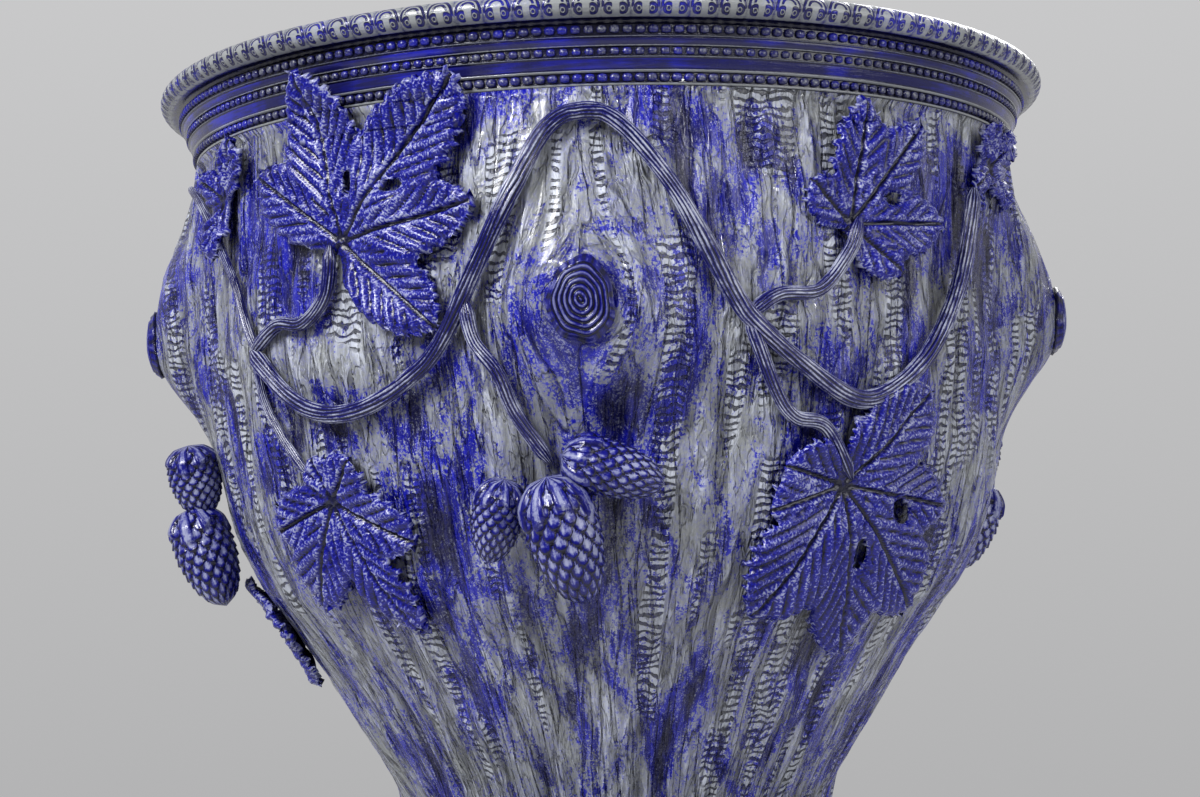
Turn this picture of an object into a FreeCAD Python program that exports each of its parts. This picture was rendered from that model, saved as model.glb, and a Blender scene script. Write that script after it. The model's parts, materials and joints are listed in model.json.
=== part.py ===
import FreeCAD, Part
import math
import os

import Sketcher

# Salt-glazed stoneware jardiniere on its stand. The pot is modelled as a
# hollow tree trunk with burls, and a hop vine with leaves and cones is laid
# on it piece by piece. The stand is a second, slimmer trunk.
# Millimetres and degrees, +Z up, origin at the centre of the stand's
# underside. Azimuth 0 is the front (-Y) and grows towards +X.

doc = FreeCAD.newDocument("jardiniere_on_stand")
sheet = doc.addObject("Spreadsheet::Sheet", "Sizes")

SIZES = [
    # alias, value, what it is
    ("pot_height", 402.0, "foot of the pot to the top of its rim"),
    ("rim_radius", 215.0, "outside of the rim's roll"),
    ("belly_radius", 198.5, "pot wall under the rim, between burls"),
    ("waist_radius", 107.0, "narrowest part of the pot"),
    ("waist_height", 50.0, "height of the waist above the pot's foot"),
    ("neck_radius", 111.0, "pot wall where it leaves the foot"),
    ("foot_radius", 125.0, "outside of the pot's foot"),
    ("foot_height", 28.0, "height of the pot's foot"),
    ("foot_recess", 6.0, "hollow under the pot's foot"),
    ("foot_land", 22.0, "width of the ring the pot stands on"),
    ("pot_wall", 10.5, "wall of the pot"),
    ("pot_floor", 13.0, "thickness of the slab that is the pot's floor"),
    ("floor_gap", 0.3, "gap between the floor slab and the wall round it"),
    ("rim_height", 33.0, "mouldings from the trunk to the top of the roll"),
    ("roll_width", 12.0, "thickness of the rim's roll"),
    ("band_height", 11.0, "height of one beaded band"),
    ("band_rise", 2.5, "how far a beaded band stands out"),
    ("burl_height", 285.5, "centre of the burls above the pot's foot"),
    ("burl_spread", 62.0, "half width of a burl"),
    ("burl_above", 95.0, "burl's reach above its centre"),
    ("burl_below", 62.0, "burl's reach below its centre"),
    ("burl_front", 24.0, "rise of the front burl"),
    ("burl_right", 23.0, "rise of the right burl"),
    ("burl_back", 24.0, "rise of the back burl"),
    ("burl_left", 25.0, "rise of the left burl"),
    ("knot_width", 29.0, "width of a ring knot"),
    ("knot_height", 37.0, "height of a ring knot"),
    ("knot_thickness", 3.0, "thickness of one step of a ring knot"),
    ("vine_width", 8.0, "thickness of the main vine"),
    ("stalk_width", 6.5, "thickness of a leaf or hop stalk"),
    ("shoot_width", 4.5, "thickness of the thin shoots"),
    ("leaf_thickness", 8.0, "leaf with the clay that backs it"),
    ("leaf_scale", 1.0, "size of the leaves against the drawn outlines"),
    ("hop_length", 52.0, "length of the large hop cone"),
    ("hop_width", 30.0, "width of the large hop cone"),
    ("sprig_gap", 0.4, "gap between the wall and what is laid on it"),
    ("stand_height", 560.0, "floor to the lip of the stand's top"),
    ("stand_foot_radius", 178.0, "outside of the stand's foot"),
    ("stand_foot_height", 44.0, "height of the stand's foot moulding"),
    ("root_radius", 150.0, "stand's trunk where it leaves the foot"),
    ("stand_waist_radius", 96.0, "narrowest part of the stand's trunk"),
    ("crown_radius", 140.0, "stand's trunk where it meets the top"),
    ("stand_wall", 14.0, "wall of the stand"),
    ("top_radius", 158.0, "outside of the stand's top"),
    ("top_height", 46.0, "height of the stand's top"),
    ("top_hole", 60.0, "radius of the vent in the stand's top"),
    ("seat_depth", 8.0, "depth of the seat for the pot's foot"),
    ("seat_gap", 1.2, "room round the pot's foot in the seat"),
    ("lift_gap", 0.3, "gap between foot and seat"),
    ("stand_burl_height", 300.0, "centre of the stand's burls"),
    ("stand_burl_rise", 12.0, "rise of the stand's burls"),
    ("stand_burl_spread", 44.0, "half width of a burl on the stand"),
    ("stand_burl_reach", 80.0, "half height of a burl on the stand"),
]
for row, (alias, value, note) in enumerate(SIZES, start=1):
    sheet.set("A%d" % row, note)
    sheet.set("B%d" % row, str(value))
    sheet.setAlias("B%d" % row, alias)
doc.recompute()


def size(alias):
    """Value of one driving dimension."""
    return float(getattr(sheet, alias))


VISIBLE = []          # sub-parts that are written to files

POT_BASE = size("stand_height") - size("seat_depth") + size("lift_gap")
RIM_BASE = size("pot_height") - size("rim_height")
STAND_TOP_BASE = size("stand_height") - size("top_height")

# Swell of the pot's wall from the waist (0) to the belly (1), against the
# share of the height between the waist and the rim.
POT_SWELL = [
    (0.0, 0.0), (0.047, 0.024), (0.085, 0.085), (0.162, 0.245), (0.236, 0.396), (0.31, 0.569),
    (0.382, 0.743), (0.459, 0.856), (0.526, 0.91), (0.607, 0.957), (0.708, 0.992), (0.843, 1.0),
    (1.0, 1.0),
]
# Flare of the stand's trunk: share of its height, then how far the wall has
# come in from the root (first half) or gone out to the crown (second half).
STAND_FLARE = [
    (0.0, 1.0), (0.08, 0.62), (0.18, 0.3), (0.32, 0.08), (0.5, 0.0),
    (0.66, -0.06), (0.8, -0.26), (0.9, -0.56), (1.0, -1.0),
]


def curve_through(stations, x):
    """Smooth curve through (x, y) stations that never overshoots them."""
    xs = [s[0] for s in stations]
    ys = [s[1] for s in stations]
    x = min(max(x, xs[0]), xs[-1])
    steps = [xs[i + 1] - xs[i] for i in range(len(xs) - 1)]
    slopes = [(ys[i + 1] - ys[i]) / steps[i] for i in range(len(steps))]
    tangents = [slopes[0]]
    for before, after in zip(slopes, slopes[1:]):
        same_way = before * after > 0
        tangents.append(2 * before * after / (before + after) if same_way else 0.0)
    tangents.append(slopes[-1])
    i = 0
    while i < len(steps) - 1 and x > xs[i + 1]:
        i += 1
    u = (x - xs[i]) / steps[i]
    return ((2 * u**3 - 3 * u**2 + 1) * ys[i] + (u**3 - 2 * u**2 + u) * steps[i] * tangents[i]
            + (3 * u**2 - 2 * u**3) * ys[i + 1] + (u**3 - u**2) * steps[i] * tangents[i + 1])


def pot_profile(height):
    """Radius of the pot's plain wall at a height above the pot's foot."""
    waist, belly = size("waist_radius"), size("belly_radius")
    if height < size("waist_height"):
        room = size("waist_height") - size("foot_height")
        share = (size("waist_height") - height) / room
        return waist + (size("neck_radius") - waist) * min(share, 1.0) ** 2
    share = (height - size("waist_height")) / (RIM_BASE - size("waist_height"))
    return waist + (belly - waist) * curve_through(POT_SWELL, share)


POT_BURLS = [
    # name, azimuth, rise
    ("front", -2.6, size("burl_front")),
    ("right", 80.0, size("burl_right")),
    ("back", 177.0, size("burl_back")),
    ("left", -84.0, size("burl_left")),
]


def turn_between(a, b):
    """Smallest turn from azimuth b to azimuth a."""
    return (a - b + 180.0) % 360.0 - 180.0


def bump(along, across):
    """Cosine swelling: 1 at the middle, 0 at a share of 1 either way."""
    if abs(along) >= 1 or abs(across) >= 1:
        return 0.0
    return (math.cos(along * math.pi / 2) * math.cos(across * math.pi / 2)) ** 2


def pot_surface(azimuth, height):
    """Outer radius of the pot with its burls, and of its rim above them."""
    if height > RIM_BASE:
        share = (height - RIM_BASE) / size("rim_height")
        return size("belly_radius") + (size("rim_radius") - size("belly_radius")) * share
    radius = pot_profile(height)
    rise_above = height - size("burl_height")
    reach = size("burl_above") if rise_above > 0 else size("burl_below")
    spread = math.degrees(size("burl_spread") / size("belly_radius"))
    for _, middle, rise in POT_BURLS:
        radius += rise * bump(rise_above / reach, turn_between(azimuth, middle) / spread)
    return radius


def pot_cover(azimuth, height):
    """Surface that the vine is laid on: it lifts a little to pass over the rim's bands."""
    start = RIM_BASE - size("band_height")
    share = min(max((height - start) / size("band_height"), 0.0), 1.0)
    return pot_surface(azimuth, height) + size("band_rise") * share


STAND_BURLS = [("front", 12.0), ("back", 192.0)]


def stand_surface(azimuth, height):
    """Outer radius of the stand's trunk at a height above the floor."""
    base = size("stand_foot_height")
    flare = curve_through(STAND_FLARE, (height - base) / (STAND_TOP_BASE - base))
    end = size("root_radius") if flare > 0 else size("crown_radius")
    radius = size("stand_waist_radius") + (end - size("stand_waist_radius")) * abs(flare)
    along = (height - size("stand_burl_height")) / size("stand_burl_reach")
    spread = math.degrees(size("stand_burl_spread") / size("stand_waist_radius"))
    for _, middle in STAND_BURLS:
        radius += size("stand_burl_rise") * bump(along, turn_between(azimuth, middle) / spread)
    return radius


def at(azimuth, radius, height):
    """Point at an azimuth, a radius and a height."""
    angle = math.radians(azimuth)
    return FreeCAD.Vector(radius * math.sin(angle), -radius * math.cos(angle), height)


def outward(azimuth):
    """Unit vector that points away from the axis."""
    return at(azimuth, 1.0, 0.0)


def add_shape(label, shape, visible=True):
    """Document object that holds a ready shape."""
    piece = doc.addObject("Part::Feature", label)
    piece.Label = label
    piece.Shape = shape
    if visible:
        VISIBLE.append(piece)
    return piece


# ---------------------------------------------------------------- turned pieces

def turned_body(label, corners, lift):
    """Body of revolution whose sketch corners are bound to the sheet."""
    body = doc.addObject("PartDesign::Body", label)
    body.Label = label
    plane = [f for f in body.Origin.OriginFeatures if f.Role == "XZ_Plane"][0]
    sketch = body.newObject("Sketcher::SketchObject", label + "_profile")
    sketch.AttachmentSupport = [(plane, "")]
    sketch.MapMode = "FlatFace"
    points = [FreeCAD.Vector(number(sketch, x), number(sketch, y), 0) for x, y in corners]
    for start, end in zip(points, points[1:] + points[:1]):
        sketch.addGeometry(Part.LineSegment(start, end), False)
    count = len(points)
    for i in range(count):
        sketch.addConstraint(Sketcher.Constraint("Coincident", i, 2, (i + 1) % count, 1))
    for i, (x, y) in enumerate(corners):
        bind(sketch, "DistanceX", i, x)
        bind(sketch, "DistanceY", i, y)
    turn = body.newObject("PartDesign::Revolution", label + "_turn")
    turn.Profile = sketch
    turn.ReferenceAxis = (sketch, ["V_Axis"])
    turn.Angle = 360.0
    body.Tip = turn
    body.Placement = FreeCAD.Placement(FreeCAD.Vector(0, 0, 0), FreeCAD.Rotation())
    body.setExpression("Placement.Base.z", lift)
    VISIBLE.append(body)
    return body


def number(owner, expression):
    """Value of an expression in sheet aliases."""
    return float(owner.evalExpression(expression))


def bind(sketch, kind, corner, expression):
    """Hold one coordinate of a corner at an expression's value."""
    value = number(sketch, expression)
    if abs(value) < 1e-9:
        axis = -1 if kind == "DistanceY" else -2
        sketch.addConstraint(Sketcher.Constraint("PointOnObject", corner, 1, axis))
        return
    index = sketch.addConstraint(Sketcher.Constraint(kind, -1, 1, corner, 1, value))
    sketch.setExpression("Constraints[%d]" % index, expression)


def sheet_terms(text):
    """Expression with each word turned into a cell of the sheet."""
    words = text.replace("(", " ( ").replace(")", " ) ").split()
    names = {alias for alias, _, _ in SIZES}
    return " ".join("Sizes." + w if w in names else w for w in words)


def pot_foot():
    """Ring moulding that the pot stands on, with a shallow hollow under it."""
    corners = [
        ("0", "foot_recess"), ("foot_radius - foot_land", "foot_recess"),
        ("foot_radius - foot_land + 3", "0"), ("foot_radius - 3", "0"),
        ("foot_radius", "3"), ("foot_radius", "foot_height * 0.3"),
        ("foot_radius - 4", "foot_height * 0.42"), ("foot_radius - 1", "foot_height * 0.6"),
        ("foot_radius - 4", "foot_height * 0.78"), ("neck_radius", "foot_height * 0.86"),
        ("neck_radius", "foot_height"), ("0", "foot_height"),
    ]
    lift = "stand_height - seat_depth + lift_gap"
    turned_body("pot_foot", in_cells(corners), sheet_terms(lift))


def in_cells(corners):
    """Corners with their words turned into cells of the sheet."""
    return [(sheet_terms(x), sheet_terms(y)) for x, y in corners]


def pot_floor():
    """Slab of clay that lies on the foot, inside the wall."""
    edge = "waist_radius - pot_wall - floor_gap"
    corners = [("0", "0"), (edge, "0"), (edge, "pot_floor"), ("0", "pot_floor")]
    lift = "stand_height - seat_depth + lift_gap + foot_height"
    turned_body("pot_floor", in_cells(corners), sheet_terms(lift))


def pot_rim():
    """Moulded collar: three beaded bands with plain fillets between them."""
    inner = "belly_radius - pot_wall"
    step = "( rim_radius - belly_radius ) / 3"
    corners = [
        (inner, "0"), ("belly_radius", "0"), ("belly_radius + band_rise", "2"),
        ("belly_radius + band_rise", "band_height - 1"),
        ("belly_radius + band_rise * 0.4", "band_height"),
        ("belly_radius + " + step, "band_height + 1"),
        ("belly_radius + " + step + " + band_rise", "band_height + 3"),
        ("belly_radius + " + step + " + band_rise", "band_height * 2 - 1"),
        ("belly_radius + " + step, "band_height * 2"), (inner, "band_height * 2"),
    ]
    lift = "stand_height - seat_depth + lift_gap + pot_height - rim_height"
    turned_body("pot_rim", in_cells(corners), sheet_terms(lift))


def rim_roll():
    """Thick stamped roll that closes the top of the rim."""
    inner = "belly_radius - pot_wall"
    tall = "( rim_height - band_height * 2 )"
    middle = "rim_radius - roll_width / 2"
    corners = [
        (inner, "0"), ("belly_radius + ( rim_radius - belly_radius ) / 3", "0"),
        (middle, tall + " * 0.12"), ("rim_radius - roll_width * 0.12", tall + " * 0.3"),
        ("rim_radius", tall + " * 0.55"), ("rim_radius - roll_width * 0.12", tall + " * 0.8"),
        (middle, tall), ("rim_radius - roll_width", tall + " * 0.9"),
        (inner, tall + " * 0.75"),
    ]
    lift = "stand_height - seat_depth + lift_gap + pot_height - rim_height + band_height * 2"
    turned_body("rim_roll", in_cells(corners), sheet_terms(lift))


def stand_foot():
    """Spreading foot moulding under the stand's trunk."""
    inner = "root_radius - stand_wall"
    corners = [
        (inner, "0"), ("stand_foot_radius - 3", "0"), ("stand_foot_radius", "4"),
        ("stand_foot_radius", "stand_foot_height * 0.34"),
        ("stand_foot_radius - 5", "stand_foot_height * 0.42"),
        ("stand_foot_radius - 7", "stand_foot_height * 0.5"),
        ("stand_foot_radius - 7", "stand_foot_height * 0.72"),
        ("root_radius + 4", "stand_foot_height * 0.84"),
        ("root_radius", "stand_foot_height"), (inner, "stand_foot_height"),
    ]
    turned_body("stand_foot", in_cells(corners), "0 mm")


def stand_top():
    """Moulded top with the seat that the pot's foot drops into."""
    seat = "foot_radius + seat_gap"
    corners = [
        ("top_hole", "top_height * 0.35"), ("crown_radius - stand_wall", "0"), ("crown_radius", "0"),
        ("crown_radius + 6", "top_height * 0.12"), ("crown_radius + 6", "top_height * 0.34"),
        ("top_radius - 6", "top_height * 0.42"), ("top_radius - 6", "top_height * 0.64"),
        ("top_radius", "top_height * 0.7"), ("top_radius", "top_height - 4"),
        ("top_radius - 4", "top_height"), (seat + " + 2", "top_height"),
        (seat, "top_height - seat_depth"), ("top_hole", "top_height - seat_depth"),
    ]
    turned_body("stand_top", in_cells(corners), sheet_terms("stand_height - top_height"))


# ---------------------------------------------------------------- trunks

RING_POINTS = 72      # points round one ring of a trunk
HOLLOW_LEVELS = 24    # steps up the inside of a trunk
POT_RING_STEP = 16.0  # between two rings of the pot's wall
STAND_RING_STEP = 22.0


def ring_wire(surface, height, lift):
    """Closed smooth ring round a trunk at one height."""
    turns = [360.0 * i / RING_POINTS for i in range(RING_POINTS)]
    curve = Part.BSplineCurve()
    points = [at(turn, surface(turn, height), height + lift) for turn in turns]
    curve.interpolate(Points=points, PeriodicFlag=True)
    return Part.Wire([curve.toShape()])


def trunk(label, surface, inside, heights, lift):
    """Trunk open at both ends: rings lofted outside, a turned hollow inside."""
    rings = [ring_wire(surface, height, lift) for height in heights]
    outside = add_shape(label + "_outside", Part.makeLoft(rings, True, False), visible=False)
    bottom, top = heights[0] - 1.0, heights[-1] + 1.0
    levels = [bottom + (top - bottom) * i / HOLLOW_LEVELS for i in range(HOLLOW_LEVELS + 1)]
    line = [FreeCAD.Vector(inside(z), 0, z + lift) for z in levels]
    curve = Part.BSplineCurve()
    curve.interpolate(line)
    axis_top = FreeCAD.Vector(0, 0, line[-1].z)
    axis_bottom = FreeCAD.Vector(0, 0, line[0].z)
    edges = [
        curve.toShape(), Part.makeLine(line[-1], axis_top),
        Part.makeLine(axis_top, axis_bottom), Part.makeLine(axis_bottom, line[0]),
    ]
    face = Part.Face(Part.Wire(edges))
    hollow_shape = face.revolve(FreeCAD.Vector(0, 0, 0), FreeCAD.Vector(0, 0, 1), 360)
    hollow = add_shape(label + "_hollow", hollow_shape, visible=False)
    shell = doc.addObject("Part::Cut", label)
    shell.Label = label
    shell.Base = outside
    shell.Tool = hollow
    VISIBLE.append(shell)
    return shell


def even_levels(bottom, top, step):
    """Heights from bottom to top, evenly spread, about a step apart."""
    count = max(2, round((top - bottom) / step))
    return [bottom + (top - bottom) * i / count for i in range(count + 1)]


def pot_inside(height):
    """Radius of the pot's hollow: straight below the waist, where the floor slab lies."""
    return pot_profile(max(height, size("waist_height"))) - size("pot_wall")


def pot_body():
    """The pot's trunk, from its foot to the rim."""
    heights = even_levels(size("foot_height"), RIM_BASE, POT_RING_STEP)
    trunk("pot_body", pot_surface, pot_inside, heights, POT_BASE)


def stand_inside(height):
    """Radius of the stand's hollow: it follows the plain wall away from the burls."""
    plain = STAND_BURLS[0][1] + 90.0
    return stand_surface(plain, height) - size("stand_wall")


def stand_trunk():
    """The stand's trunk."""
    heights = even_levels(size("stand_foot_height"), STAND_TOP_BASE, STAND_RING_STEP)
    trunk("stand_trunk", stand_surface, stand_inside, heights, 0.0)


# ---------------------------------------------------------------- laid-on pieces

class Wall:
    """A trunk's surface, as what is laid on it sees it."""

    def __init__(self, surface, low, high, lift):
        self.surface = surface
        self.low = low
        self.high = high
        self.lift = lift

    def height(self, percent):
        """Height of a place given in percent of the wall's own height."""
        return self.low + (self.high - self.low) * percent / 100.0

    def point(self, azimuth, height, proud):
        """Point a little proud of the wall."""
        return at(azimuth, self.surface(azimuth, height) + proud, height + self.lift)

    def normal(self, azimuth, height):
        """Outward normal of the wall."""
        step = 0.5
        across = self.point(azimuth + step, height, 0) - self.point(azimuth - step, height, 0)
        up = self.point(azimuth, height + step, 0) - self.point(azimuth, height - step, 0)
        return across.cross(up).normalize()


POT_WALL = Wall(pot_cover, size("foot_height"), RIM_BASE, POT_BASE)
STAND_WALL = Wall(stand_surface, size("stand_foot_height"), STAND_TOP_BASE, 0.0)


def smooth_route(places, steps):
    """Catmull-Rom route through (azimuth, percent) places."""
    padded = [places[0]] + list(places) + [places[-1]]
    route = []
    for a, b, c, d in zip(padded, padded[1:], padded[2:], padded[3:]):
        for i in range(steps):
            u = i / float(steps)
            route.append(tuple(
                0.5 * (2 * q + (r - p) * u + (2 * p - 5 * q + 4 * r - w) * u**2
                       + (3 * q - p - 3 * r + w) * u**3)
                for p, q, r, w in zip(a, b, c, d)))
    route.append(places[-1])
    return route


FINE_STEPS = 8        # steps between two places of a route
LOFT_EVERY = 3        # one circle of a strand for each so many steps


def free_stretch(centres, radius, others):
    """Part of a route that stays clear of what is laid already."""
    room = radius + size("sprig_gap")
    near = [other for other in others if other.BoundBox.intersect(box_round(centres, room))]
    free = [all(Part.Vertex(c).distToShape(other)[0] >= room for other in near) for c in centres]
    best = (0, 0)
    start = None
    for i, clear in enumerate(free + [False]):
        if clear and start is None:
            start = i
        if not clear and start is not None:
            best = max(best, (i - start, start))
            start = None
    length, first = best
    return centres[first:first + length]


def box_round(points, room):
    """Box that holds some points with room to spare."""
    box = FreeCAD.BoundBox()
    for point in points:
        box.add(point)
    box.enlarge(room)
    return box


def vine_shape(wall, places, width, turn, others=()):
    """Rolled strand of clay laid on a wall along a route, between what lies there already."""
    route = smooth_route(places, FINE_STEPS)
    proud = width / 2 + size("sprig_gap")
    spots = [(azimuth + turn, wall.height(percent)) for azimuth, percent in route]
    centres = [wall.point(a, z, 0) + wall.normal(a, z) * proud for a, z in spots]
    if others:
        centres = free_stretch(centres, width / 2, others)
    marks = centres[:-LOFT_EVERY:LOFT_EVERY] + centres[-1:]
    circles = []
    for i, centre in enumerate(marks):
        ahead = marks[min(i + 1, len(marks) - 1)]
        behind = marks[max(i - 1, 0)]
        way = (ahead - behind).normalize()
        circles.append(Part.Wire([Part.Circle(centre, way, width / 2).toShape()]))
    return Part.makeLoft(circles, True, True)


PATCH_POINTS = 17     # points each way on a patch of the wall
CUT_START = 0.4       # share of the wall's radius at which a sprig's outline is drawn


def wall_patch(wall, azimuth, height, half_width, half_height, proud):
    """Smooth face that follows the wall round one place."""
    count = PATCH_POINTS
    radius = wall.surface(azimuth, height)
    grid = []
    for i in range(count):
        offset = half_height * (2.0 * i / (count - 1) - 1.0)
        row = []
        for j in range(count):
            turn = math.degrees(half_width / radius) * (2.0 * j / (count - 1) - 1.0)
            row.append(wall.point(azimuth + turn, height + offset, proud))
        grid.append(row)
    patch = Part.BSplineSurface()
    patch.interpolate(grid)
    return patch.toShape()


def outline_face(corners):
    """Flat face inside a closed run of points."""
    return Part.Face(Part.makePolygon(corners + corners[:1]))


def sprig_shape(wall, azimuth, height, outlines, proud, thickness):
    """Piece cut to one outline, or to several joined ones, whose back follows the wall."""
    across = at(azimuth + 90.0, 1.0, 0.0)
    out = outward(azimuth)
    reach = wall.surface(azimuth, height)
    start = at(azimuth, reach * CUT_START, height + wall.lift)
    up = FreeCAD.Vector(0, 0, 1)
    faces = [outline_face([start + across * x + up * y for x, y in line]) for line in outlines]
    whole = faces[0].multiFuse(faces[1:]).removeSplitter() if len(faces) > 1 else faces[0]
    cutter = whole.Faces[0].extrude(out * reach)
    places = [place for line in outlines for place in line]
    half_width = max(abs(x) for x, _ in places) * 1.3 + 4.0
    half_height = max(abs(y) for _, y in places) + 4.0
    patch = wall_patch(wall, azimuth, height, half_width, half_height, proud)
    back = max(patch.common(cutter).Faces, key=lambda face: face.Area)
    return back.extrude(out * thickness)


# Half of a leaf's lobe: share of its length, then share of its half breadth.
LOBE_EDGE = [(0.08, 0.45), (0.3, 0.85), (0.52, 1.0), (0.72, 0.86), (0.88, 0.46)]


def lobe_outlines(lobes, scale):
    """Pointed ovals from (direction, length, half breadth), direction clockwise from the top."""
    outlines = []
    for way, length, breadth in lobes:
        angle = math.radians(way)
        marks = [(-0.08, 0.0)] + LOBE_EDGE + [(1.0, 0.0)]
        marks += [(far, -side) for far, side in reversed(LOBE_EDGE)]
        outlines.append([
            ((math.sin(angle) * length * far + math.cos(angle) * breadth * side) * scale,
             (math.cos(angle) * length * far - math.sin(angle) * breadth * side) * scale)
            for far, side in marks])
    return outlines


LEAVES = {
    # name: (azimuth, percent of wall height, lobes)
    "leaf_high_left": (-31.6, 84.3, [
        (-10, 72, 17), (42, 84, 18), (80, 62, 14), (130, 58, 14), (-55, 56, 13),
    ]),
    "leaf_curled": (-55.0, 92.0, [(30, 30, 9), (-150, 28, 9), (-60, 24, 8)]),
    "leaf_high_right": (28.8, 84.7, [
        (8, 52, 12), (40, 58, 11), (87, 48, 13), (130, 30, 10), (-50, 26, 9),
    ]),
    "leaf_rim_right": (57.0, 94.0, [(-10, 22, 8), (60, 34, 9), (120, 28, 8), (-120, 20, 6)]),
    "leaf_low_right": (28.6, 54.6, [
        (48, 58, 17), (100, 58, 15), (136, 74, 17), (166, 72, 17), (212, 60, 19), (-72, 30, 13),
        (256, 34, 14),
    ]),
    "leaf_low_left": (-36.5, 54.0, [
        (40, 24, 10), (112, 42, 12), (152, 60, 11), (205, 48, 14), (250, 36, 12), (-20, 20, 9),
    ]),
    "leaf_side": (-74.0, 38.0, [(-70, 28, 10), (-125, 36, 12), (175, 34, 11), (110, 26, 10)]),
}

VINE = [
    (-47.5, 72.4), (-40.5, 66.5), (-33.9, 64.4), (-26.5, 66.0), (-18.7, 71.6), (-12.6, 80.8),
    (-9.0, 88.3), (-6.0, 94.6), (-2.5, 96.6), (1.2, 95.4), (5.9, 89.1), (10.3, 81.4),
    (15.4, 74.1), (22.0, 68.6), (29.3, 64.6), (35.5, 66.2), (41.3, 70.9), (47.2, 79.7), (50.8, 90.6),
]
STALKS = {
    # name: (which width, places)
    "shoot": ("shoot_width", [
        (-47.5, 72.4), (-49.5, 75.8), (-52.2, 81.2), (-56.6, 86.5), (-60.4, 90.0), (-66.0, 93.5),
        (-73.0, 96.5),
    ]),
    "tendril": ("shoot_width", [(-47.5, 72.4), (-46.7, 66.4), (-43.5, 61.4), (-39.3, 56.5)]),
    "stalk_high_left": ("stalk_width", [
        (-47.5, 72.4), (-42.3, 75.3), (-37.7, 75.2), (-33.9, 78.4), (-33.1, 84.0),
    ]),
    "stalk_hops": ("stalk_width", [
        (-14.8, 76.5), (-13.9, 72.0), (-11.4, 68.5), (-10.1, 64.0), (-7.6, 59.4),
    ]),
    "stalk_high_right": ("stalk_width", [
        (15.4, 74.1), (19.1, 76.4), (24.2, 77.0), (28.4, 81.7), (29.8, 85.5),
    ]),
    "stalk_low_right": ("stalk_width", [
        (15.4, 74.1), (18.5, 66.2), (21.1, 62.7), (25.2, 61.5), (29.4, 55.5),
    ]),
}
HOPS = {
    # name: (azimuth, percent, lean from straight down, share of the large cone)
    "hop_middle": (-6.0, 51.3, -13.0, 1.0),
    "hop_left": (-13.8, 52.9, 10.0, 0.66),
    "hop_right": (1.0, 58.2, -68.0, 0.76),
    "hop_side_upper": (-76.0, 57.6, 8.0, 0.66),
    "hop_side_lower": (-76.0, 48.2, -6.0, 0.95),
}


def keep_clear(piece, others):
    """Cut a laid-on piece where it meets those laid before it."""
    for other in others:
        if piece.BoundBox.intersect(other.BoundBox):
            cut = piece.cut(other)
            if cut.Solids:
                piece = max(cut.Solids, key=lambda solid: solid.Volume)
    return piece


# Side of a hop cone: share of its length from the middle, share of its half width.
HOP_OUTLINE = [
    (-0.58, 0.0), (-0.5, 0.46), (-0.3, 0.82), (0.0, 1.0), (0.22, 0.93), (0.38, 0.55), (0.42, 0.0),
]


def hop_shape(wall, azimuth, height, lean, share):
    """Egg-shaped hop cone that lies on the wall, tip down."""
    length = size("hop_length") * share
    half = size("hop_width") * share / 2
    marks = [FreeCAD.Vector(half * out, 0, length * far) for far, out in HOP_OUTLINE]
    curve = Part.BSplineCurve()
    curve.interpolate(marks)
    face = Part.Face(Part.Wire([curve.toShape(), Part.makeLine(marks[-1], marks[0])]))
    cone = face.revolve(FreeCAD.Vector(0, 0, 0), FreeCAD.Vector(0, 0, 1), 360)
    normal = wall.normal(azimuth, height)
    across = FreeCAD.Vector(0, 0, 1).cross(normal).normalize()
    up = normal.cross(across)
    frame = FreeCAD.Rotation(across, normal * -1.0, up, "ZXY")
    cone.Placement = FreeCAD.Placement(
        wall.point(azimuth, height, 0) + normal * (half + 2 * size("sprig_gap")),
        frame.multiply(FreeCAD.Rotation(FreeCAD.Vector(0, 1, 0), lean)))
    return cone


def oval_outline(width, height):
    """Sixteen-sided oval."""
    turns = [2 * math.pi * i / 16 for i in range(16)]
    return [(width / 2 * math.sin(t), height / 2 * math.cos(t)) for t in turns]


def knot_shape(wall, azimuth, height):
    """Ring knot: an oval boss with a smaller one on it."""
    step = size("knot_thickness")
    width, tall = size("knot_width"), size("knot_height")
    gap = size("sprig_gap")
    base = sprig_shape(wall, azimuth, height, [oval_outline(width, tall)], gap, step)
    small = oval_outline(width * 0.6, tall * 0.6)
    boss = sprig_shape(wall, azimuth, height, [small], gap, step * 1.6)
    return base.fuse(boss).removeSplitter()


def pot_knots():
    """A ring knot on top of each burl."""
    for name, azimuth, _ in POT_BURLS:
        add_shape("knot_" + name, knot_shape(POT_WALL, azimuth, size("burl_height")))


def pot_decoration(side, turn):
    """Hop vine with its leaves and cones on one side of the pot."""
    gap = size("sprig_gap")
    laid = []
    vine = vine_shape(POT_WALL, VINE, size("vine_width"), turn)
    laid.append(add_shape("vine_" + side, vine).Shape)
    for name, (azimuth, percent, lean, share) in HOPS.items():
        height = POT_WALL.height(percent)
        cone = keep_clear(hop_shape(POT_WALL, azimuth + turn, height, lean, share), laid)
        laid.append(add_shape(name + "_" + side, cone).Shape)
    for name, (azimuth, percent, lobes) in LEAVES.items():
        outlines = lobe_outlines(lobes, size("leaf_scale"))
        height = POT_WALL.height(percent)
        leaf = sprig_shape(POT_WALL, azimuth + turn, height, outlines, gap, size("leaf_thickness"))
        laid.append(add_shape(name + "_" + side, keep_clear(leaf, laid)).Shape)
    for name, (width, places) in STALKS.items():
        stalk = vine_shape(POT_WALL, places, size(width), turn, laid)
        laid.append(add_shape(name + "_" + side, stalk).Shape)


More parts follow.
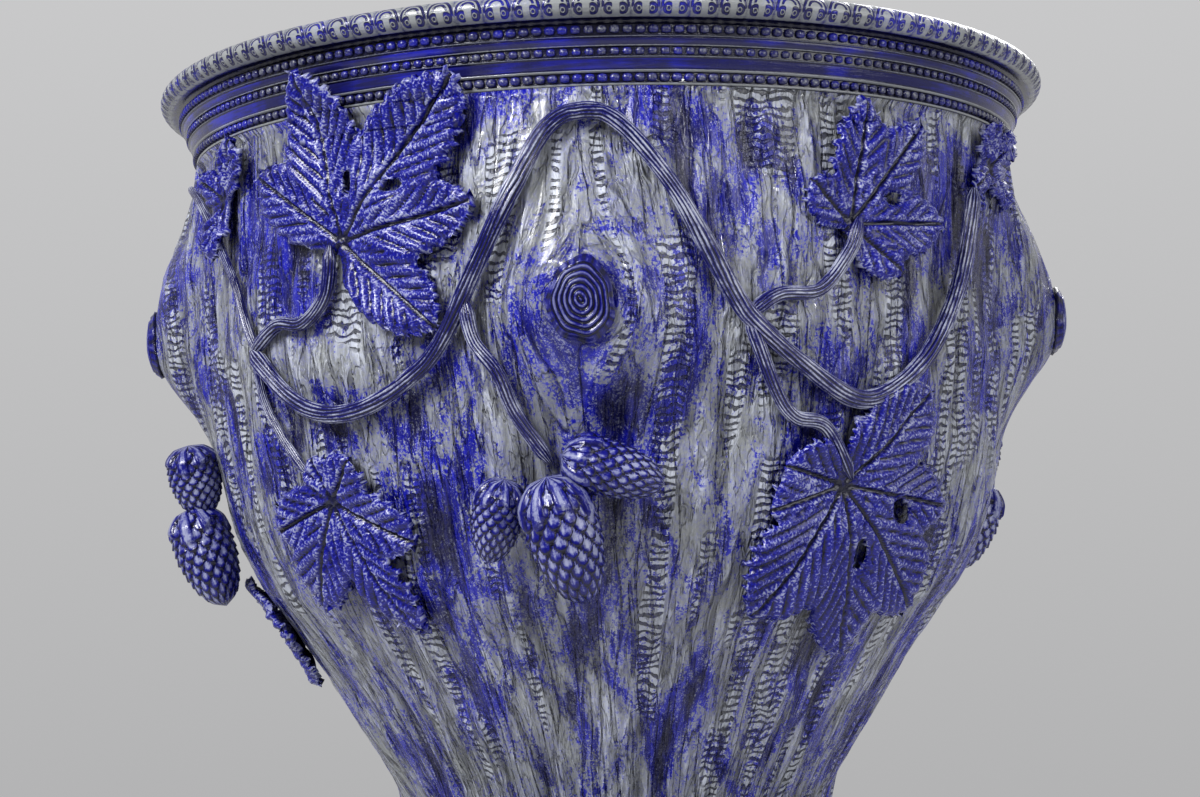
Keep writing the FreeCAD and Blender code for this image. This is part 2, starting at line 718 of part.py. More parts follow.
STAND_VINE = [
    (-62.0, 4.0), (-48.0, 14.0), (-40.0, 26.0), (-30.0, 36.0), (-34.0, 48.0), (-24.0, 60.0),
    (-4.0, 68.0), (18.0, 72.0), (38.0, 78.0), (52.0, 88.0), (60.0, 95.0),
]
STAND_LEAVES = {
    "stand_leaf_low": (-10.0, 20.0, [
        (20, 42, 14), (75, 46, 15), (125, 44, 14), (170, 48, 14), (225, 40, 14), (-50, 34, 12),
    ]),
    "stand_leaf_high": (-54.0, 70.0, [
        (-10, 44, 14), (50, 34, 12), (140, 26, 10), (190, 34, 12), (245, 40, 14), (-60, 42, 14),
    ]),
}
STAND_HOP = (44.0, 62.0, -8.0, 0.9)


def stand_decoration(side, turn):
    """Vine with two leaves and a hop cone on one side of the stand."""
    gap = size("sprig_gap")
    laid = []
    vine = vine_shape(STAND_WALL, STAND_VINE, size("vine_width"), turn)
    laid.append(add_shape("stand_vine_" + side, vine).Shape)
    azimuth, percent, lean, share = STAND_HOP
    cone = hop_shape(STAND_WALL, azimuth + turn, STAND_WALL.height(percent), lean, share)
    laid.append(add_shape("stand_hop_" + side, keep_clear(cone, laid)).Shape)
    for name, (azimuth, percent, lobes) in STAND_LEAVES.items():
        outlines = lobe_outlines(lobes, size("leaf_scale"))
        height = STAND_WALL.height(percent)
        leaf = sprig_shape(STAND_WALL, azimuth + turn, height, outlines, gap, size("leaf_thickness"))
        laid.append(add_shape(name + "_" + side, keep_clear(leaf, laid)).Shape)


def stand_knots():
    """A ring knot on each of the stand's burls."""
    for name, azimuth in STAND_BURLS:
        add_shape("stand_knot_" + name, knot_shape(STAND_WALL, azimuth, size("stand_burl_height")))


def check_model():
    """Stop if an object failed or a sub-part isn't one sound solid."""
    for item in doc.Objects:
        if "Invalid" in item.State or "Error" in item.State:
            raise RuntimeError("%s failed: %s" % (item.Label, item.State))
    for piece in VISIBLE:
        shape = piece.Shape
        if shape.isNull() or not shape.isValid() or len(shape.Solids) != 1:
            raise RuntimeError("%s is not one sound solid" % piece.Label)


def write_parts():
    """One file for each sub-part."""
    os.makedirs("parts", exist_ok=True)
    for piece in VISIBLE:
        piece.Shape.exportStep("parts/%s.step" % piece.Label)
        print("%-28s %10.0f mm3" % (piece.Label, piece.Shape.Volume))


stand_foot()
stand_trunk()
stand_top()
pot_foot()
pot_floor()
pot_body()
pot_rim()
rim_roll()
pot_knots()
stand_knots()
for side_name, side_turn in (("front", 0.0), ("back", 180.0)):
    pot_decoration(side_name, side_turn)
    stand_decoration(side_name, side_turn)
doc.recompute()
check_model()
write_parts()
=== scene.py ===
"""Salt-glazed stoneware jardiniere on its stand, dressed for the picture.

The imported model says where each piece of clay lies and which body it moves
with. Each piece is modelled again here at that place, with its bark, veins,
scales and beads, and is glazed in cobalt blue over grey clay.
Metres, azimuths in degrees: 0 is the front (-Y) and they grow towards +X.
"""

import itertools
import json
import math

import bpy
import numpy as np
from bpy.props import FloatProperty, FloatVectorProperty, PointerProperty
from mathutils import Matrix, Vector


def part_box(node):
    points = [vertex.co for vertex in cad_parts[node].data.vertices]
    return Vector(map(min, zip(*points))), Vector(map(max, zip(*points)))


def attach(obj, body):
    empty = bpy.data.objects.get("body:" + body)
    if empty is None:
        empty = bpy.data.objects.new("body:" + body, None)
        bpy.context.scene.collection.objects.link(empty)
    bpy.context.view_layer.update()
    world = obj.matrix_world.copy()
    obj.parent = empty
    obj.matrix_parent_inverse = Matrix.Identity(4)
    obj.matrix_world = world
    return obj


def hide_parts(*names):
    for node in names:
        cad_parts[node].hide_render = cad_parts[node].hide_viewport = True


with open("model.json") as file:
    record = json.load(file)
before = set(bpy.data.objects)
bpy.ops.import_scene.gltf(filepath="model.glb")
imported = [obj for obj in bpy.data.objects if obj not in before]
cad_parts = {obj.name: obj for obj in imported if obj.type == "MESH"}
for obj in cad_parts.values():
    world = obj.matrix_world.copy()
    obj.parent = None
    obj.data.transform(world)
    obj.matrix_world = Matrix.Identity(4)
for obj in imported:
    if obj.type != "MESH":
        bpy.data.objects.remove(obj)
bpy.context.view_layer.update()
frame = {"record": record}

bl_info = {
    "name": "Jardiniere on Stand",
    "version": (1, 0, 0),
    "blender": (4, 5, 0),
    "location": "View3D > Sidebar > Jardiniere",
    "description": "Builds the sprigged and glazed jardiniere around its packed frame",
    "category": "Mesh",
}

MM = 0.001
POT_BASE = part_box("pot_foot")[0].z
RIM_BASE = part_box("pot_body")[1].z
RIM_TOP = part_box("rim_roll")[1].z
RIM_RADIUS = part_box("rim_roll")[1].x
STAND_TOP_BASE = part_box("stand_trunk")[1].z
SIDES = (("front", 0.0), ("back", 180.0))
BODY_OF = {
    node: body
    for body, nodes in frame["record"]["behaviour"]["bodies"].items()
    for node in nodes
}
SLOT_OF = {part["node"]: part["material_slot"] for part in frame["record"]["subparts"]}


# ---------------------------------------------------------------- sizes and colours

def distance(name, description, millimetres):
    """A size that a user may change, given in millimetres and kept in metres."""
    return FloatProperty(
        name=name, description=description, default=millimetres * MM, unit="LENGTH", subtype="DISTANCE")


def srgb(red, green, blue):
    """Scene-linear colour of an sRGB one given from 0 to 255."""
    def linear(value):
        value /= 255.0
        return value / 12.92 if value <= 0.04045 else ((value + 0.055) / 1.055) ** 2.4
    return (linear(red), linear(green), linear(blue))


def colour(name, description, red, green, blue):
    """A glaze colour that a user may change."""
    return FloatVectorProperty(
        name=name, description=description, default=srgb(red, green, blue), subtype="COLOR",
        size=3, min=0.0, max=1.0)


class PotSizes(bpy.types.PropertyGroup):
    """Sizes of the pot's trunk, heights from the pot's foot."""

    belly_radius: distance("Belly", "Radius of the wall under the rim, between burls", 198.5)
    waist_radius: distance("Waist", "Narrowest radius of the pot", 107.0)
    waist_height: distance("Waist height", "Height of the waist", 50.0)
    neck_radius: distance("Neck", "Radius of the wall where it leaves the foot", 111.0)
    foot_height: distance("Foot height", "Height of the pot's foot", 28.0)
    wall: distance("Wall", "Thickness of the pot's wall", 10.5)
    floor: distance("Floor", "Thickness of the slab that is the floor", 13.0)
    burl_height: distance("Burl height", "Height of the burls' centres", 285.5)
    burl_spread: distance("Burl spread", "Half width of a burl", 62.0)
    burl_above: distance("Burl above", "Reach of a burl above its centre", 95.0)
    burl_below: distance("Burl below", "Reach of a burl below its centre", 62.0)
    burl_front: distance("Front burl", "Rise of the front burl", 24.0)
    burl_right: distance("Right burl", "Rise of the right burl", 23.0)
    burl_back: distance("Back burl", "Rise of the back burl", 24.0)
    burl_left: distance("Left burl", "Rise of the left burl", 25.0)


class StandSizes(bpy.types.PropertyGroup):
    """Sizes of the stand's trunk, heights from the floor."""

    foot_height: distance("Foot height", "Height of the foot moulding", 44.0)
    root_radius: distance("Root", "Radius of the trunk where it leaves the foot", 150.0)
    waist_radius: distance("Waist", "Narrowest radius of the trunk", 96.0)
    crown_radius: distance("Crown", "Radius of the trunk where it meets the top", 140.0)
    wall: distance("Wall", "Thickness of the stand's wall", 14.0)
    burl_height: distance("Burl height", "Height of the burls' centres", 300.0)
    burl_rise: distance("Burl rise", "Rise of a burl", 12.0)
    burl_spread: distance("Burl spread", "Half width of a burl", 44.0)
    burl_reach: distance("Burl reach", "Half height of a burl", 80.0)


class SprigSizes(bpy.types.PropertyGroup):
    """Sizes of the pieces laid on the walls."""

    knot_width: distance("Knot width", "Width of a ring knot", 29.0)
    knot_height: distance("Knot height", "Height of a ring knot", 37.0)
    knot_rise: distance("Knot rise", "How far a ring knot stands out", 2.2)
    vine_width: distance("Vine", "Thickness of the main vine", 8.0)
    stalk_width: distance("Stalk", "Thickness of a leaf or hop stalk", 6.5)
    shoot_width: distance("Shoot", "Thickness of the thin shoots", 4.5)
    leaf_sheet: distance("Leaf sheet", "Thickness of a leaf's clay", 2.6)
    leaf_cell: distance("Leaf grid", "Cell of the grid that leaves are cut from", 1.0)
    hop_length: distance("Hop length", "Length of the large hop cone", 52.0)
    hop_width: distance("Hop width", "Width of the large hop cone", 30.0)
    gap: distance("Gap", "Gap between the wall and what is laid on it", 0.4)


class GlazeColours(bpy.types.PropertyGroup):
    """Colours of the clay and of the cobalt under the salt glaze."""

    clay: colour("Clay", "Bare stoneware", 133, 136, 138)
    # The pale clay is the clay's own paler glaze on streaks and hairs, and also a painted highlight on
    # ridges, strand tops and the bars between ladder notches.
    pale: colour("Pale clay", "Thin glaze on ridges", 196, 201, 214)
    blue: colour("Blue", "Bright cobalt", 12, 18, 162)
    deep: colour("Deep blue", "Pooled cobalt", 5, 5, 74)
    # The furrow colour is painted shade: the near black laid into furrows and grooves.
    groove_shade: colour("Furrow", "Dirt and pooled glaze in the furrows", 8, 9, 34)


GROUPS = {
    "jardiniere_pot": PotSizes,
    "jardiniere_stand": StandSizes,
    "jardiniere_sprigs": SprigSizes,
    "jardiniere_colours": GlazeColours,
}


def pot_sizes():
    """The pot's sizes."""
    return bpy.context.scene.jardiniere_pot


def stand_sizes():
    """The stand's sizes."""
    return bpy.context.scene.jardiniere_stand


def sprig_sizes():
    """Sizes of what is laid on the walls."""
    return bpy.context.scene.jardiniere_sprigs


# ---------------------------------------------------------------- curves and noise

def curve_through(stations, x):
    """Smooth curve through (x, y) stations that never overshoots them."""
    xs, ys = np.array(stations, float).T
    steps = np.diff(xs)
    slopes = np.diff(ys) / steps
    products = slopes[:-1] * slopes[1:]
    sums = slopes[:-1] + slopes[1:]
    inner = np.where(products > 0, 2 * products / np.where(products > 0, sums, 1.0), 0.0)
    tangents = np.concatenate([slopes[:1], inner, slopes[-1:]])
    x = np.clip(x, xs[0], xs[-1])
    i = np.clip(np.searchsorted(xs, x, side="right") - 1, 0, len(steps) - 1)
    u = (x - xs[i]) / steps[i]
    return ((2 * u**3 - 3 * u**2 + 1) * ys[i] + (u**3 - 2 * u**2 + u) * steps[i] * tangents[i]
            + (3 * u**2 - 2 * u**3) * ys[i + 1] + (u**3 - u**2) * steps[i] * tangents[i + 1])


def smooth_route(places, steps):
    """Catmull-Rom route through (azimuth, percent) places."""
    marks = np.array([places[0], *places, places[-1]], float)
    route = []
    for p, q, r, w in zip(marks, marks[1:], marks[2:], marks[3:]):
        for i in range(steps):
            u = i / steps
            route.append(0.5 * (2 * q + (r - p) * u + (2 * p - 5 * q + 4 * r - w) * u**2
                                + (3 * q - p - 3 * r + w) * u**3))
    return np.array([*route, marks[-1]])


def run_length(points):
    """Length covered at each point of a run."""
    return np.concatenate([[0.0], np.cumsum(np.linalg.norm(np.diff(points, axis=0), axis=1))])


def ease(low, high, x):
    """Smooth step from 0 at low to 1 at high."""
    share = np.clip((x - low) / (high - low), 0.0, 1.0)
    return share * share * (3 - 2 * share)


def ridge(x, middle, width):
    """Rounded ridge that is 1 at its middle."""
    return np.exp(-((x - middle) / width) ** 2)


WORD = 0xFFFFFFFF                                        # 32 bits
HALF_WORD = 0xFFFF
PLACE_FACTORS = (73856093, 19349663, 83492791, 2654435)  # for x, y, z and the seed
STIRS = ((15, 739982445), (12, 695872825))               # bits shifted, then a factor


def lattice(x, y, z, seed):
    """Repeatable value from -1 to 1 at each whole-numbered place."""
    mixed = sum(value * factor for value, factor in zip((x, y, z, seed), PLACE_FACTORS)) & WORD
    for shift, factor in STIRS:
        mixed = ((mixed ^ (mixed >> shift)) * factor) & WORD
    return ((mixed ^ (mixed >> 15)) & HALF_WORD) * 2.0 / HALF_WORD - 1.0


def grain_noise(places, seed):
    """Smooth noise from about -1 to 1 at places of shape (..., 3), one swell per unit."""
    whole = np.floor(places).astype(np.int64)
    part = places - whole
    part = part * part * part * (part * (part * 6 - 15) + 10)
    value = 0.0
    for corner in itertools.product((0, 1), repeat=3):
        weight = np.prod(np.where(corner, part, 1 - part), axis=-1)
        value = value + weight * lattice(*np.moveaxis(whole + corner, -1, 0), seed)
    return value


def rough_noise(places, octaves, seed):
    """Noise with finer and finer detail."""
    value = 0.0
    for octave in range(octaves):
        value = value + grain_noise(places * 2**octave, seed + octave) / 2**octave
    return value


# ---------------------------------------------------------------- the two trunks' walls

# Swell of the pot's wall from the waist (0) to the belly (1), against the
# share of the height between the waist and the rim.
POT_SWELL = [
    (0.0, 0.0), (0.047, 0.024), (0.085, 0.085), (0.162, 0.245), (0.236, 0.396), (0.31, 0.569),
    (0.382, 0.743), (0.459, 0.856), (0.526, 0.91), (0.607, 0.957), (0.708, 0.992), (0.843, 1.0),
    (1.0, 1.0),
]
# Flare of the stand's trunk: in from the root, then out to the crown.
STAND_FLARE = [
    (0.0, 1.0), (0.08, 0.62), (0.18, 0.3), (0.32, 0.08), (0.5, 0.0),
    (0.66, -0.06), (0.8, -0.26), (0.9, -0.56), (1.0, -1.0),
]
POT_BURLS = {"front": -2.6, "right": 80.0, "back": 177.0, "left": -84.0}
STAND_BURLS = {"front": 12.0, "back": 192.0}
STAND_GRAIN_RADIUS = 110.0 * MM
GRAIN_PARTING = 19.0 * MM   # how strongly the grain parts round a burl
GRAIN_CALM = 15.0 * MM      # softens the parting at a burl's middle
GRAIN_UPRIGHT = 0.8         # what a height counts against a width in the parting


def turn_between(a, b):
    """Smallest turn from azimuth b to azimuth a."""
    return (a - b + 180.0) % 360.0 - 180.0


def bump(along, across):
    """Cosine swelling: 1 at the middle, 0 at a share of 1 either way."""
    inside = (np.abs(along) < 1) & (np.abs(across) < 1)
    return np.where(inside, (np.cos(along * math.pi / 2) * np.cos(across * math.pi / 2)) ** 2, 0.0)


def pot_profile(z):
    """Radius of the pot's plain wall."""
    sizes = pot_sizes()
    height = z - POT_BASE
    low_share = (sizes.waist_height - height) / (sizes.waist_height - sizes.foot_height)
    low = sizes.waist_radius + (sizes.neck_radius - sizes.waist_radius) * np.clip(low_share, 0, 1) ** 2
    share = (height - sizes.waist_height) / (RIM_BASE - POT_BASE - sizes.waist_height)
    high = sizes.waist_radius + (sizes.belly_radius - sizes.waist_radius) * curve_through(POT_SWELL, share)
    return np.where(height < sizes.waist_height, low, high)


def pot_surface(azimuth, z):
    """Outer radius of the pot with its burls."""
    sizes = pot_sizes()
    above = z - POT_BASE - sizes.burl_height
    reach = np.where(above > 0, sizes.burl_above, sizes.burl_below)
    spread = math.degrees(sizes.burl_spread / sizes.belly_radius)
    radius = pot_profile(z)
    for side, middle in POT_BURLS.items():
        rise = getattr(sizes, "burl_" + side)
        radius = radius + rise * bump(above / reach, turn_between(azimuth, middle) / spread)
    return radius


BAND_HEIGHT = 11.0 * MM
BAND_RISE = 2.5 * MM


def pot_cover(azimuth, z):
    """Surface that the vine is laid on: it lifts a little to pass over the rim's bands."""
    share = np.clip((z - (RIM_BASE - BAND_HEIGHT)) / BAND_HEIGHT, 0.0, 1.0)
    over = np.clip((z - RIM_BASE) / (RIM_TOP - RIM_BASE), 0.0, 1.0)
    flare = (RIM_RADIUS - pot_sizes().belly_radius) * over
    return pot_surface(azimuth, np.minimum(z, RIM_BASE)) + BAND_RISE * share + flare


def stand_surface(azimuth, z):
    """Outer radius of the stand's trunk."""
    sizes = stand_sizes()
    flare = curve_through(STAND_FLARE, (z - sizes.foot_height) / (STAND_TOP_BASE - sizes.foot_height))
    end = np.where(flare > 0, sizes.root_radius, sizes.crown_radius)
    radius = sizes.waist_radius + (end - sizes.waist_radius) * np.abs(flare)
    along = (z - sizes.burl_height) / sizes.burl_reach
    spread = math.degrees(sizes.burl_spread / sizes.waist_radius)
    for middle in STAND_BURLS.values():
        radius = radius + sizes.burl_rise * bump(along, turn_between(azimuth, middle) / spread)
    return radius


def around(azimuth, radius, z):
    """Points at azimuths, radii and heights."""
    angle = np.radians(azimuth)
    azimuth, radius, z = np.broadcast_arrays(azimuth, radius, z)
    return np.stack([radius * np.sin(angle), -radius * np.cos(angle), z], axis=-1)


class Wall:
    """A trunk's surface, as what is laid on it sees it."""

    def __init__(self, node, surface, cover, knots, grain_radius):
        low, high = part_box(node)
        self.low = low.z
        self.high = high.z
        self.surface = surface
        self.cover = cover
        self.knots = knots
        self.grain_radius = grain_radius

    def height(self, percent):
        """Height of a place given in percent of the wall's own height."""
        return self.low + (self.high - self.low) * percent / 100.0

    def points(self, azimuth, z, proud):
        """Points that stand proud of the wall, along its own normal."""
        step = 0.25
        rise = step * MM
        across = (around(azimuth + step, self.cover(azimuth + step, z), z)
                  - around(azimuth - step, self.cover(azimuth - step, z), z))
        up = (around(azimuth, self.cover(azimuth, z + rise), z + rise)
              - around(azimuth, self.cover(azimuth, z - rise), z - rise))
        normal = np.cross(across, up)
        normal /= np.linalg.norm(normal, axis=-1, keepdims=True)
        return around(azimuth, self.cover(azimuth, z), z) + normal * np.asarray(proud)[..., None]

    def grain(self, azimuth, z):
        """Places as the bark's grain sees them: its lines part and flow round the knots."""
        shift = 0.0
        for middle, centre in self.knots:
            across = np.radians(turn_between(azimuth, middle)) * self.grain_radius
            along = (z - centre) * GRAIN_UPRIGHT
            shift = shift + GRAIN_PARTING**2 * across / (across**2 + along**2 + GRAIN_CALM**2)
        turned = azimuth - np.degrees(shift / self.grain_radius)
        return around(turned, self.grain_radius, z)


def pot_wall():
    """The pot's wall."""
    sizes = pot_sizes()
    knots = [(middle, POT_BASE + sizes.burl_height) for middle in POT_BURLS.values()]
    return Wall("pot_body", pot_surface, pot_cover, knots, sizes.belly_radius)


def stand_wall():
    """The stand's wall."""
    sizes = stand_sizes()
    knots = [(middle, sizes.burl_height) for middle in STAND_BURLS.values()]
    return Wall("stand_trunk", stand_surface, stand_surface, knots, STAND_GRAIN_RADIUS)


# ---------------------------------------------------------------- glazes

WET_GLAZE = {"IOR": 1.4, "Coat Weight": 0.25, "Coat Roughness": 0.1}


class Glaze:
    """Node tree of one glaze, built up step by step."""

    def __init__(self, name):
        self.material = bpy.data.materials.new("salt_" + name)
        self.material.use_nodes = True
        self.tree = self.material.node_tree
        self.shader = self.tree.nodes["Principled BSDF"]

    def node(self, kind, inputs=(), **settings):
        """New node with its inputs linked or set; gives the node."""
        made = self.tree.nodes.new(kind)
        for key, value in settings.items():
            setattr(made, key, value)
        for key, value in dict(inputs).items():
            self.put(made.inputs[key], value)
        return made

    def put(self, socket, value):
        """Link a socket, or set its value."""
        if isinstance(value, bpy.types.NodeSocket):
            self.tree.links.new(value, socket)
        else:
            socket.default_value = value

    def mark(self, name, output="Fac"):
        """A mark that a piece carries on its surface."""
        return self.node("ShaderNodeAttribute", attribute_name=name).outputs[output]

    def place(self):
        """Place on the object, in metres."""
        return self.node("ShaderNodeTexCoord").outputs["Object"]

    def drawn(self, vector, share):
        """Places for a noise: a share below 1 draws it out upwards, one above 1 presses it flat."""
        return self.scaled(vector, (1, 1, share))

    def scaled(self, vector, scale):
        """Vector times a scale for each axis."""
        settings = {0: vector, 1: scale}
        return self.node("ShaderNodeVectorMath", settings, operation="MULTIPLY").outputs[0]

    def noise(self, vector, scale, detail=2.0, roughness=0.5, distortion=0.0):
        """Cloudy noise from 0 to 1, so many swells per metre."""
        inputs = {"Vector": vector, "Scale": scale, "Detail": detail, "Roughness": roughness,
                  "Distortion": distortion}
        return self.node("ShaderNodeTexNoise", inputs).outputs["Fac"]

    def sum(self, first, *terms):
        """First value plus each (value, weight)."""
        total = first
        for value, weight in terms:
            settings = {0: value, 1: weight, 2: total}
            total = self.node("ShaderNodeMath", settings, operation="MULTIPLY_ADD").outputs[0]
        return total

    def math(self, operation, a, b=0.0):
        """One step of arithmetic."""
        return self.node("ShaderNodeMath", {0: a, 1: b}, operation=operation).outputs[0]

    def times(self, a, b):
        """Product of two values."""
        return self.math("MULTIPLY", a, b)

    def less(self, value):
        """One less a value, so that a line becomes a groove."""
        return self.math("SUBTRACT", 1.0, value)

    def centred(self, value):
        """A value from 0 to 1, shifted to swing about zero."""
        return self.sum(-0.5, (value, 1.0))

    def step(self, value, low, high):
        """Smooth step of a value from 0 at low to 1 at high."""
        inputs = {"Value": value, "From Min": low, "From Max": high}
        return self.node("ShaderNodeMapRange", inputs, interpolation_type="SMOOTHSTEP").outputs[0]

    def mix(self, factor, a, b):
        """Mix of two colours."""
        inputs = {0: factor, 6: opaque(a), 7: opaque(b)}
        return self.node("ShaderNodeMix", inputs, data_type="RGBA").outputs[2]

    def most(self, first, *others):
        """Greatest of several values."""
        for other in others:
            first = self.math("MAXIMUM", first, other)
        return first

    def raise_bump(self, height, depth, below=None):
        """Relief of a height from 0 to 1 that is so many metres deep."""
        inputs = {"Height": height, "Distance": depth, "Strength": 1.0}
        if below is not None:
            inputs["Normal"] = below
        return self.node("ShaderNodeBump", inputs).outputs[0]

    def finish(self, colour_socket, roughness, normal):
        """Close the tree with a wet salt glaze."""
        self.put(self.shader.inputs["Base Color"], colour_socket)
        self.put(self.shader.inputs["Roughness"], roughness)
        self.put(self.shader.inputs["Normal"], normal)
        for name, value in WET_GLAZE.items():
            self.shader.inputs[name].default_value = value
        return self.material


def opaque(value):
    """A colour with its alpha, or a socket as it is."""
    return value if isinstance(value, bpy.types.NodeSocket) else (*tuple(value)[:3], 1.0)


def salt_peel(glaze):
    """The fine orange peel that salt leaves on the glaze."""
    return glaze.noise(glaze.place(), 1100.0, roughness=0.6)


def creases(glaze, vector, scale, width):
    """Thin winding lines where a cloudy noise crosses its middle; 1 in a line."""
    cloud = glaze.noise(vector, scale, distortion=0.4)
    return glaze.step(glaze.math("ABSOLUTE", glaze.centred(cloud)), width, 0.0)


def trunk_glaze():
    """Combed clay with cobalt dabbed on in patches; plain clay inside."""
    colours = bpy.context.scene.jardiniere_colours
    glaze = Glaze("trunk_glaze")
    grain = glaze.mark("grain", "Vector")
    relief = glaze.mark("relief")
    outside = glaze.mark("outside")
    patches = glaze.noise(glaze.drawn(grain, 0.75), 25.0, detail=6.0, roughness=0.72, distortion=0.5)
    streaks = glaze.noise(glaze.drawn(grain, 0.28), 250.0, detail=3.0, roughness=0.6, distortion=0.8)
    hair = glaze.noise(glaze.drawn(grain, 0.07), 800.0, distortion=0.8)
    speckle = glaze.noise(glaze.place(), 850.0, roughness=0.65)
    furrows = creases(glaze, glaze.drawn(grain, 0.17), 110.0, width=0.045)
    wrinkles = creases(glaze, glaze.drawn(grain, 0.3), 220.0, width=0.05)
    notches, bars = ladder_marks(glaze, grain)

    # clay: paler on streaks and hairs, with a painted highlight on ridges and on the bars between notches,
    # and a thin blue wash near the patches
    light = glaze.sum(streaks, (relief, 0.16), (hair, 0.3), (speckle, 0.2))
    clay = glaze.mix(glaze.times(glaze.step(light, 0.7, 1.1), 0.8), colours.clay, colours.pale)
    wash = glaze.step(glaze.sum(patches, (speckle, 0.5)), 0.6, 0.85)
    clay = glaze.mix(glaze.times(wash, 0.36), clay, colours.blue)
    clay = glaze.mix(glaze.times(bars, 0.55), clay, colours.pale)

    # cobalt: deeper where a patch is full, frosted in fine hairs
    depth = glaze.sum(patches, (streaks, 0.55), (relief, -0.12))
    cobalt = glaze.mix(glaze.step(depth, 0.76, 1.02), colours.blue, colours.deep)
    frost = glaze.times(glaze.step(speckle, 0.5, 0.66), glaze.step(hair, 0.46, 0.64))
    cobalt = glaze.mix(glaze.times(frost, 0.42), cobalt, colours.pale)

    # the brush leaves its patches broken by streaks and speckle
    dabs = glaze.sum(patches, (glaze.centred(streaks), 0.22), (furrows, 0.04),
                     (glaze.centred(speckle), 0.4), (relief, -0.03), (notches, 0.03))
    shade = glaze.mix(glaze.step(dabs, 0.49, 0.55), clay, cobalt)

    # painted shade: every furrow, wrinkle, notch and low place is darkened towards the near black furrow
    # colour
    low = glaze.step(glaze.sum(relief, (hair, 0.5)), -0.1, -0.75)
    lines = ((low, 0.6), (furrows, 0.55), (wrinkles, 0.26), (notches, 0.75))
    painted_furrow_shade = glaze.most(*(glaze.times(line, strength) for line, strength in lines))
    shade = glaze.mix(painted_furrow_shade, shade, colours.groove_shade)
    plain = glaze.mix(glaze.step(patches, 0.3, 0.9), colours.clay, colours.pale)
    shade = glaze.mix(outside, plain, shade)

    normal = None
    heights = ((hair, 0.22), (glaze.less(notches), 1.3), (glaze.less(furrows), 1.2),
               (glaze.less(wrinkles), 0.5), (streaks, 1.7))
    for height, millimetres in heights:
        normal = glaze.raise_bump(glaze.times(height, outside), millimetres * MM, normal)
    normal = glaze.raise_bump(salt_peel(glaze), 0.2 * MM, normal)
    return glaze.finish(shade, glaze.sum(0.18, (speckle, 0.16)), normal)


def ladder_marks(glaze, grain):
    """Rows of short notches, one above another, pressed into the bark, and the bars between them."""
    pitch = 3.3 * MM
    strips = glaze.noise(glaze.drawn(grain, 0.13), 78.0, detail=1.0, roughness=0.4)
    where = glaze.noise(grain, 17.0, detail=1.0, roughness=0.4)
    wander = glaze.noise(grain, 120.0)
    height = glaze.node("ShaderNodeSeparateXYZ", {"Vector": grain}).outputs["Z"]
    turns = glaze.sum(glaze.times(height, 2 * math.pi / pitch), (wander, 16.0))
    rungs = glaze.step(glaze.math("SINE", turns), 0.1, 0.8)
    strip = glaze.times(glaze.step(strips, 0.54, 0.57), glaze.step(where, 0.44, 0.48))
    notches = glaze.times(strip, rungs)
    return notches, glaze.math("SUBTRACT", strip, notches)


def sprig_glaze(name, richness, pale_from, paleness, hatch_scale, hatch_share, hatch_depth):
    """Cobalt sprigs: pale strokes on their ridges, partly thin glaze and partly painted highlight, and near
    black painted shade in their grooves.
    """
    colours = bpy.context.scene.jardiniere_colours
    glaze = Glaze(name)
    relief = glaze.mark("relief")
    fine = glaze.mark("fine", "Vector")
    hatch = glaze.noise(glaze.scaled(fine, hatch_scale), 1000.0, detail=1.0, distortion=0.3)
    speckle = glaze.noise(glaze.place(), 900.0, roughness=0.6)
    cloud = glaze.noise(glaze.place(), 60.0)
    light = glaze.sum(glaze.times(relief, 0.5), (glaze.centred(hatch), hatch_share),
                      (glaze.centred(speckle), 0.6), (glaze.centred(cloud), 1.0))
    rich = glaze.times(glaze.step(light, -0.45, 0.45), richness)
    shade = glaze.mix(rich, colours.deep, colours.blue)
    # pale strokes where the level is high, mostly on ridges and strand tops: partly thin glaze, partly
    # painted highlight
    stroke = glaze.step(light, pale_from, pale_from + 0.5)
    shade = glaze.mix(glaze.times(stroke, paleness), shade, colours.pale)
    # painted shade: near black in the grooves
    groove = glaze.step(relief, 0.05, -0.6)
    shade = glaze.mix(glaze.times(groove, 0.92), shade, colours.groove_shade)
    normal = glaze.raise_bump(hatch, hatch_depth)
    normal = glaze.raise_bump(salt_peel(glaze), 0.12 * MM, normal)
    return glaze.finish(shade, glaze.sum(0.16, (speckle, 0.15)), normal)


def stamp_lines(glaze):
    """Lines stamped on the roll, a pair of curls under an arch; 1 in a line."""
    place = glaze.node("ShaderNodeSeparateXYZ", {"Vector": glaze.mark("stamp", "Vector")}).outputs
    across = glaze.less(glaze.math("PINGPONG", place["X"], 1.0))
    up = place["Y"]

    def away(side, height, squash):
        """Distance from a point at a side place and a height."""
        sideways = glaze.math("SUBTRACT", across, side)
        upward = glaze.times(glaze.math("SUBTRACT", up, height), squash)
        return glaze.math("SQRT", glaze.sum(glaze.times(sideways, sideways), (upward, upward)))

    def line(value, middle, width):
        """Line where a value is near its middle."""
        near = glaze.math("ABSOLUTE", glaze.math("SUBTRACT", value, middle))
        return glaze.step(near, width, 0.4 * width)

    arch = glaze.times(line(away(0.0, -0.25, 0.85), 0.86, 0.11), glaze.step(up, -0.4, -0.3))
    inner = glaze.times(line(away(0.0, -0.1, 0.9), 0.5, 0.1), glaze.step(up, 0.0, 0.1))
    curl = away(0.45, -0.45, 0.95)
    hook = glaze.times(line(curl, 0.28, 0.13), glaze.step(across, 0.2, 0.34))
    eye = glaze.step(curl, 0.13, 0.05)
    return glaze.times(glaze.most(arch, inner, hook, eye), place["Z"])


